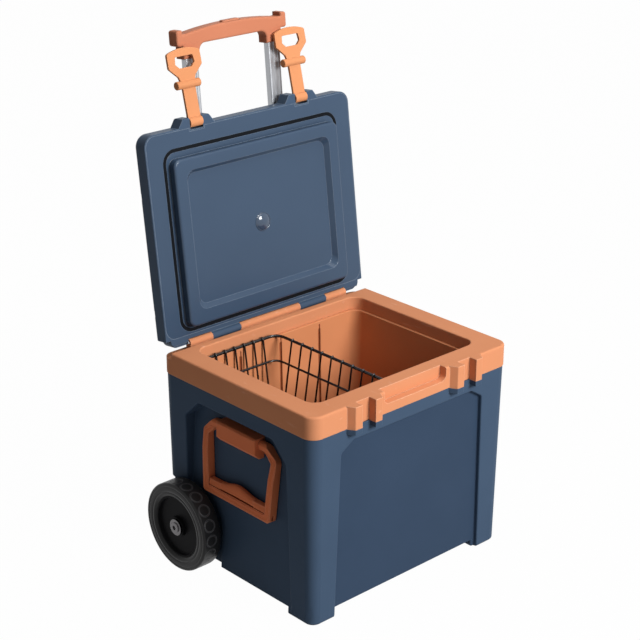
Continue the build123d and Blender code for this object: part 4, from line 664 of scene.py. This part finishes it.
# %% The basket
middle, drawn_in = (left + right) / 2, inner + lean
y = np.linspace(-1, 1, cross_count) * (half_y - inner - cross_margin)
x = middle + np.linspace(-1, 1, long_count) * ((right - left) / 2 - inner - long_margin)
cross_wires = bent(ends(left, y, right, y), ends(left + drawn_in, y, right - drawn_in, y),
                   floor_z)
long_wires = bent(ends(x, -half_y, x, half_y), ends(x, drawn_in - half_y, x, half_y - drawn_in),
                  floor_z + layer)
basket = surface("basket_wires",
                 wires(ring_path(0, top_z, 25 * MM), rim_wire, (0, 0, 1), 18, True),
                 wires(ring_path(ring_inset, ring_z, 22 * MM), ring_wire, (0, 0, 1), 16, True),
                 wires(cross_wires, wire_r, (0, 1, 0)),
                 wires(long_wires, wire_r, (1, 0, 0)))
basket.data.materials.append(wire_coat)
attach(basket, "basket")
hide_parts(*named("basket_"))

# %% [markdown]
# ## Side handles
# Each side handle hangs from a pin under its cover. Its grip is a softer piece, swollen in the
# middle for the fingers and ribbed beside that. It could be a sculpted block, but its sections
# are all superellipses, which go from round to nearly square by one exponent. They are stacked
# along the bar, in the handle's own coordinates, and then hung in the frame.

# %% Hand grips
pivot, slope = np.array([240.5, 0, 320]) * MM, math.radians(-3.5763)
grip_half, pad_half, pad_soft = 80.5 * MM, 47 * MM, 1.4 * MM
pad_rise, swell_rise, swell_half = 2.5 * MM, 8.5 * MM, 46 * MM
bar_low, bar_top, bar_half = -131 * MM, -117 * MM, 7.25 * MM
rib_pitch, rib_depth, groove_half = 4.6 * MM, 1.1 * MM, 0.8 * MM


def hung(side, x, y, z):
    """Handle coordinates to the frame: turned by the slope, moved to the pivot, mirrored."""
    c, s = math.cos(slope), math.sin(slope)
    return np.stack([side * (x * c + z * s + pivot[0]), y + stance[1],
                     -x * s + z * c + pivot[2]], -1)


def grip_points(side, rows=324, around=72):
    """The hand grip as a grid [1, rows along the bar, points round it, 3].

    Each section is a superellipse |x/hx|^n + |z/hz|^n = 1 between the bar and a top line. In
    the pad n is 2.6 and the top swells by swell_rise * (1 + cos(pi y / swell_half)) / 2; beyond
    it n is 6 and the outer face has ribs, a cosine of z. A groove marks where the two meet.
    """
    y = np.linspace(-grip_half, grip_half, rows)[:, None]
    a = np.linspace(0, 2 * np.pi, around, endpoint=False)[None]
    pad = np.clip((pad_half - np.abs(y)) / pad_soft, 0, 1)
    pad = pad * pad * (3 - 2 * pad)
    swell = 0.5 + 0.5 * np.cos(np.pi * np.clip(y / swell_half, -1, 1))
    top = bar_top + pad * (pad_rise + swell_rise * swell)
    power = 2 / (6 - 3.4 * pad)
    sunk = 1 - 0.1 * np.exp(-((np.abs(y) - pad_half) / groove_half) ** 2)
    half_x, half_z = bar_half * sunk, (top - bar_low) / 2 * sunk
    x = 0.75 * MM + half_x * np.sign(np.cos(a)) * np.abs(np.cos(a)) ** power
    z = (top + bar_low) / 2 + half_z * np.sign(np.sin(a)) * np.abs(np.sin(a)) ** power
    rib = (0.5 - 0.5 * np.cos(2 * np.pi * (z - bar_low) / rib_pitch)) * (1 - pad)
    x = x - rib_depth * rib * (x > 6 * MM)
    spots = hung(side, x, np.broadcast_to(y, x.shape), z)
    centre = spots.mean(1, keepdims=True) * np.ones((1, around, 1))
    return np.concatenate([centre[:1], spots, centre[-1:]])[None]


for side, word in SIDES:
    pad_piece = surface("handle_pad_" + word, (grip_points(side), False, True))
    pad_piece.data.materials.append(handle_orange)
    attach(pad_piece, "handle_" + word[0])
    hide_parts("handle_grip_" + word)

# %% [markdown]
# The outer face of each side handle carries low rounded lines that stiffen it and catch the
# light. They could be cut in the solid, but they are only a millimetre high. Each is a wire that
# is sunk into the face and follows the frame's own outline. Its height follows the face, which
# steps back towards the pivot.

# %% Handle lines
eye_half, elbow_half, low_half = 69 * MM, 90 * MM, 81 * MM
elbow_z, eye_z = -24 * MM, -9 * MM
face_z, face_x = np.array([-146, -60, -16, 0]) * MM, np.array([9, 9, 4.5, 8]) * MM


def handle_line(side, in_by, width):
    """A rounded line on the handle's outer face, in_by from the frame's inner edge."""
    eye, elbow, low = eye_half + in_by, elbow_half + in_by, low_half + in_by
    low_z = bar_low - in_by
    corners = np.array([[[0, -eye, eye_z], [0, -elbow, elbow_z], [0, -low, low_z],
                         [0, low, low_z], [0, elbow, elbow_z], [0, eye, eye_z]]])
    rough_path = eased(corners, [0, 9 * MM, 8 * MM, 8 * MM, 9 * MM, 0], steps=10)[0]
    known = np.arange(len(rough_path))
    wanted = np.linspace(0, known[-1], 400)
    y, z = (np.interp(wanted, known, rough_path[:, k]) for k in (1, 2))
    x = np.interp(z, face_z, face_x) - 0.3 * MM
    return wires(hung(side, x, y, z)[None], width / 2, (1, 0, 0), 12)


for side, word in SIDES:
    line = surface("handle_line_" + word, handle_line(side, 3.2 * MM, 2.6 * MM),
                   handle_line(side, 11.5 * MM, 2.0 * MM))
    line.data.materials.append(handle_orange)
    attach(line, "handle_" + word[0])

# %% [markdown]
# ## Small turned pieces
# Two round pieces are left: the cap in the lid's lining and the heads of the hinge pin. Both are
# turned: a profile of radius and height, swept round an axis. A Screw modifier does the same,
# but would have to be applied. Where they belong is read from the solids' points, so that it is
# typed nowhere twice.

# %% Turned shapes
def turned_points(centre, axis, radius, height, steps=96):
    """Points c + r (u cos a + v sin a) + h axis, as a grid [1, steps, profile, 3]."""
    axis = np.asarray(axis, float) / np.linalg.norm(axis)
    u = np.cross(axis, [0.0, 0.0, 1.0] if abs(axis[2]) < 0.9 else [1.0, 0.0, 0.0])
    u = u / np.linalg.norm(u)
    v = np.cross(axis, u)
    a = np.linspace(0, 2 * np.pi, steps, endpoint=False)[:, None, None]
    ring = np.cos(a) * u + np.sin(a) * v
    return (np.asarray(centre) + np.asarray(radius)[None, :, None] * ring
            + np.asarray(height)[None, :, None] * axis)[None]


def points_of(name):
    """The points of a solid, in the frame."""
    mesh = nodes[name].data
    spots = np.empty(len(mesh.vertices) * 3)
    mesh.vertices.foreach_get("co", spots)
    to_frame = np.array(nodes[name].matrix_world)
    return spots.reshape(-1, 3) @ to_frame[:3, :3].T + to_frame[:3, 3]


quarter = np.linspace(0, 0.5 * np.pi, 6)
print("turned_points and points_of are ready")

# %% [markdown]
# The filling port in the lid is closed by a cap with a low polished dome inside a rolled lip,
# and the dome carries one bright highlight. The cap's axis is the direction in which the solid's
# points spread least.

# %% Port cap
dome_edge, dome_height, lip_inner, lip_r, cap_out = (16.6 * MM, 4.6 * MM, 17.6 * MM, 1.4 * MM,
                                                     19 * MM)
cap_points = points_of("lid_port_cap")
cap_middle = (cap_points.min(0) + cap_points.max(0)) / 2
ways = np.linalg.eigh(np.cov((cap_points - cap_points.mean(0)).T))[1]
cap_axis = ways[:, 0] * (-1 if ways[1, 0] > 0 else 1)
base_h = ((cap_points - cap_middle) @ cap_axis).min()
dome_r = np.linspace(0, dome_edge, 18)
dome_h = base_h + 1.1 * MM + dome_height * (1 - (dome_r / dome_edge) ** 2) ** 0.85
cap_r = np.concatenate([dome_r, [17 * MM, 17.2 * MM], lip_inner + lip_r * np.sin(quarter),
                        [cap_out, 0]])
cap_h = np.concatenate([dome_h, base_h + np.array([0.5, 0.9]) * MM,
                        base_h + 0.2 * MM + 1.2 * MM * np.cos(quarter), [base_h, base_h]])
cap = surface("port_cap_dome", (turned_points(cap_middle, cap_axis, cap_r, cap_h), True, True))
cap.data.materials.append(cap_gloss)
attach(cap, "lid")
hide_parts("lid_port_cap")

# %% [markdown]
# The hinge pin runs the whole width of the lid. The real one ends in a round head on each side,
# which holds it in place. Each head is a quarter circle turned about the pin's axis.

# %% Hinge pin heads
head_r, head_h = 4.4 * MM * np.cos(quarter), 2.2 * MM * np.sin(quarter)
pin_points = points_of("hinge_pin")
pin_middle = (pin_points.min(0) + pin_points.max(0)) / 2
heads = []
for side in (-1, 1):
    tip = side * (side * pin_points[:, 0]).max()
    heads.append((turned_points((tip, pin_middle[1], pin_middle[2]), (side, 0, 0),
                                np.concatenate([[0], head_r]),
                                np.concatenate([[-0.2 * MM], head_h])), True, False))
pin_heads = surface("hinge_pin_heads", *heads)
pin_heads.data.materials.append(steel)
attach(pin_heads, "body")

# %% [markdown]
# ## Camera
# The camera stands where the photograph was taken from: in front of the left corner, a little
# above the rim. It could be aimed by eye, but its place, direction and focal length were fitted
# to points of the cooler in the picture, so they are written as they came out.

# %% Camera
focal_px, picture_px, sensor_mm = 1709.95, 640.0, 36.0
eye = Vector((-2.0832, -2.2495, 1.7201))
ahead = Vector((0.62911, 0.67950, -0.37757)).normalized()
across = Vector((0.73470, -0.67850, 0.0031))
across = (across - ahead * across.dot(ahead)).normalized()
upward = across.cross(ahead)
lens = bpy.data.cameras.new("camera")
lens.sensor_width = sensor_mm
lens.lens = sensor_mm * focal_px / picture_px
lens.clip_end = 60.0
camera = bpy.data.objects.new("camera", lens)
camera.matrix_world = Matrix(((across.x, upward.x, -ahead.x, eye.x),
                              (across.y, upward.y, -ahead.y, eye.y),
                              (across.z, upward.z, -ahead.z, eye.z),
                              (0, 0, 0, 1)))
bpy.context.scene.collection.objects.link(camera)
bpy.context.scene.camera = camera
print("lens", round(lens.lens, 1), "mm")

# %% [markdown]
# ## White surround
# The photograph is a packshot on white. A bright world would light the cooler from all sides and
# flatten it, so the world only looks white: rays from the camera, and those mirrored or bent by
# glossy and clear things, meet full white, and the light that falls on matt plastic stays weak.

# %% White surround
world = bpy.data.worlds.new("studio")
bpy.context.scene.world = world
world.use_nodes = True
sky = world.node_tree
sky.nodes.clear()
sky_out = put(sky, "ShaderNodeOutputWorld")
seen = put(sky, "ShaderNodeLightPath").outputs
mirrored = reckon(sky, "ADD", seen["Is Glossy Ray"], seen["Is Transmission Ray"],
                  use_clamp=True)
in_sight = reckon(sky, "ADD", seen["Is Camera Ray"], mirrored, use_clamp=True)
white = put(sky, "ShaderNodeBackground", Color=(1, 1, 1, 1),
            Strength=ranged(sky, in_sight, 0.0, 1.0, 0.07, 1.0))
feed(sky, sky_out.inputs["Surface"], white.outputs["Background"])
print("world", world.name)

# %% [markdown]
# ## Floor
# The floor carries on the white: where the camera or a reflection sees it, most of its colour is
# its own glow. The small rest is painted grey and lit by the lamps, so it still takes the
# cooler's shadow.

# %% Floor
floor_half, floor_glow = 9.0, 0.985
span = np.linspace(-floor_half, floor_half, 3)
floor_points = np.stack(np.meshgrid(span, span, [0.0], indexing="ij"), -1)[:, :, 0]
floor = surface("floor", (floor_points[None], False, False))
paint, tree, shader, _ = start_material("floor_paint")
shader.inputs["Base Color"].default_value = (0.42, 0.42, 0.42, 1)
shader.inputs["Roughness"].default_value = 0.6
glow = put(tree, "ShaderNodeEmission", Color=(1, 1, 1, 1))
sight = put(tree, "ShaderNodeLightPath").outputs
watched = reckon(tree, "ADD", sight["Is Camera Ray"], sight["Is Glossy Ray"], use_clamp=True)
blend = put(tree, "ShaderNodeMixShader", Fac=reckon(tree, "MULTIPLY", watched, floor_glow))
feed(tree, blend.inputs[1], shader.outputs["BSDF"])
feed(tree, blend.inputs[2], glow.outputs["Emission"])
feed(tree, tree.nodes["Material Output"].inputs["Surface"], blend.outputs["Shader"])
floor.data.materials.append(paint)

# %% [markdown]
# ## Lamps
# One large soft lamp from the right front makes the front face paler than the left side. A
# second above lights the rim and the lid, and a weak warm one on the left keeps that side from
# going black. Large lamps give the soft shadows of a studio; a sun would make them hard.

# %% Lamps
def lamp(name, place, aim, power, size, colour=(1, 1, 1)):
    """A square soft lamp that stands at a place and looks at a point."""
    light = bpy.data.lights.new(name, "AREA")
    light.shape, light.size = "SQUARE", size
    light.energy, light.color = power, colour
    thing = bpy.data.objects.new(name, light)
    thing.location = place
    thing.rotation_euler = (Vector(aim) - Vector(place)).to_track_quat("-Z", "Y").to_euler()
    bpy.context.scene.collection.objects.link(thing)
    print("lamp", name, power, "W")


lamp("key_right", place=(0.5, -3.3, 2.2), aim=(0, 0, 0.4), power=165, size=1.3)
lamp("top", place=(0.4, -0.5, 3.2), aim=(0, 0, 0.3), power=36, size=2.0)
lamp("fill_left", place=(-3.0, 0.2, 1.2), aim=(0, 0, 0.3), power=3.5, size=1.5,
     colour=(1.0, 0.86, 0.78))

# %% [markdown]
# ## View
# The Standard view transform shows a colour as it is written, where the default would soften it.

# %% View settings
bpy.context.scene.view_settings.view_transform = "Standard"
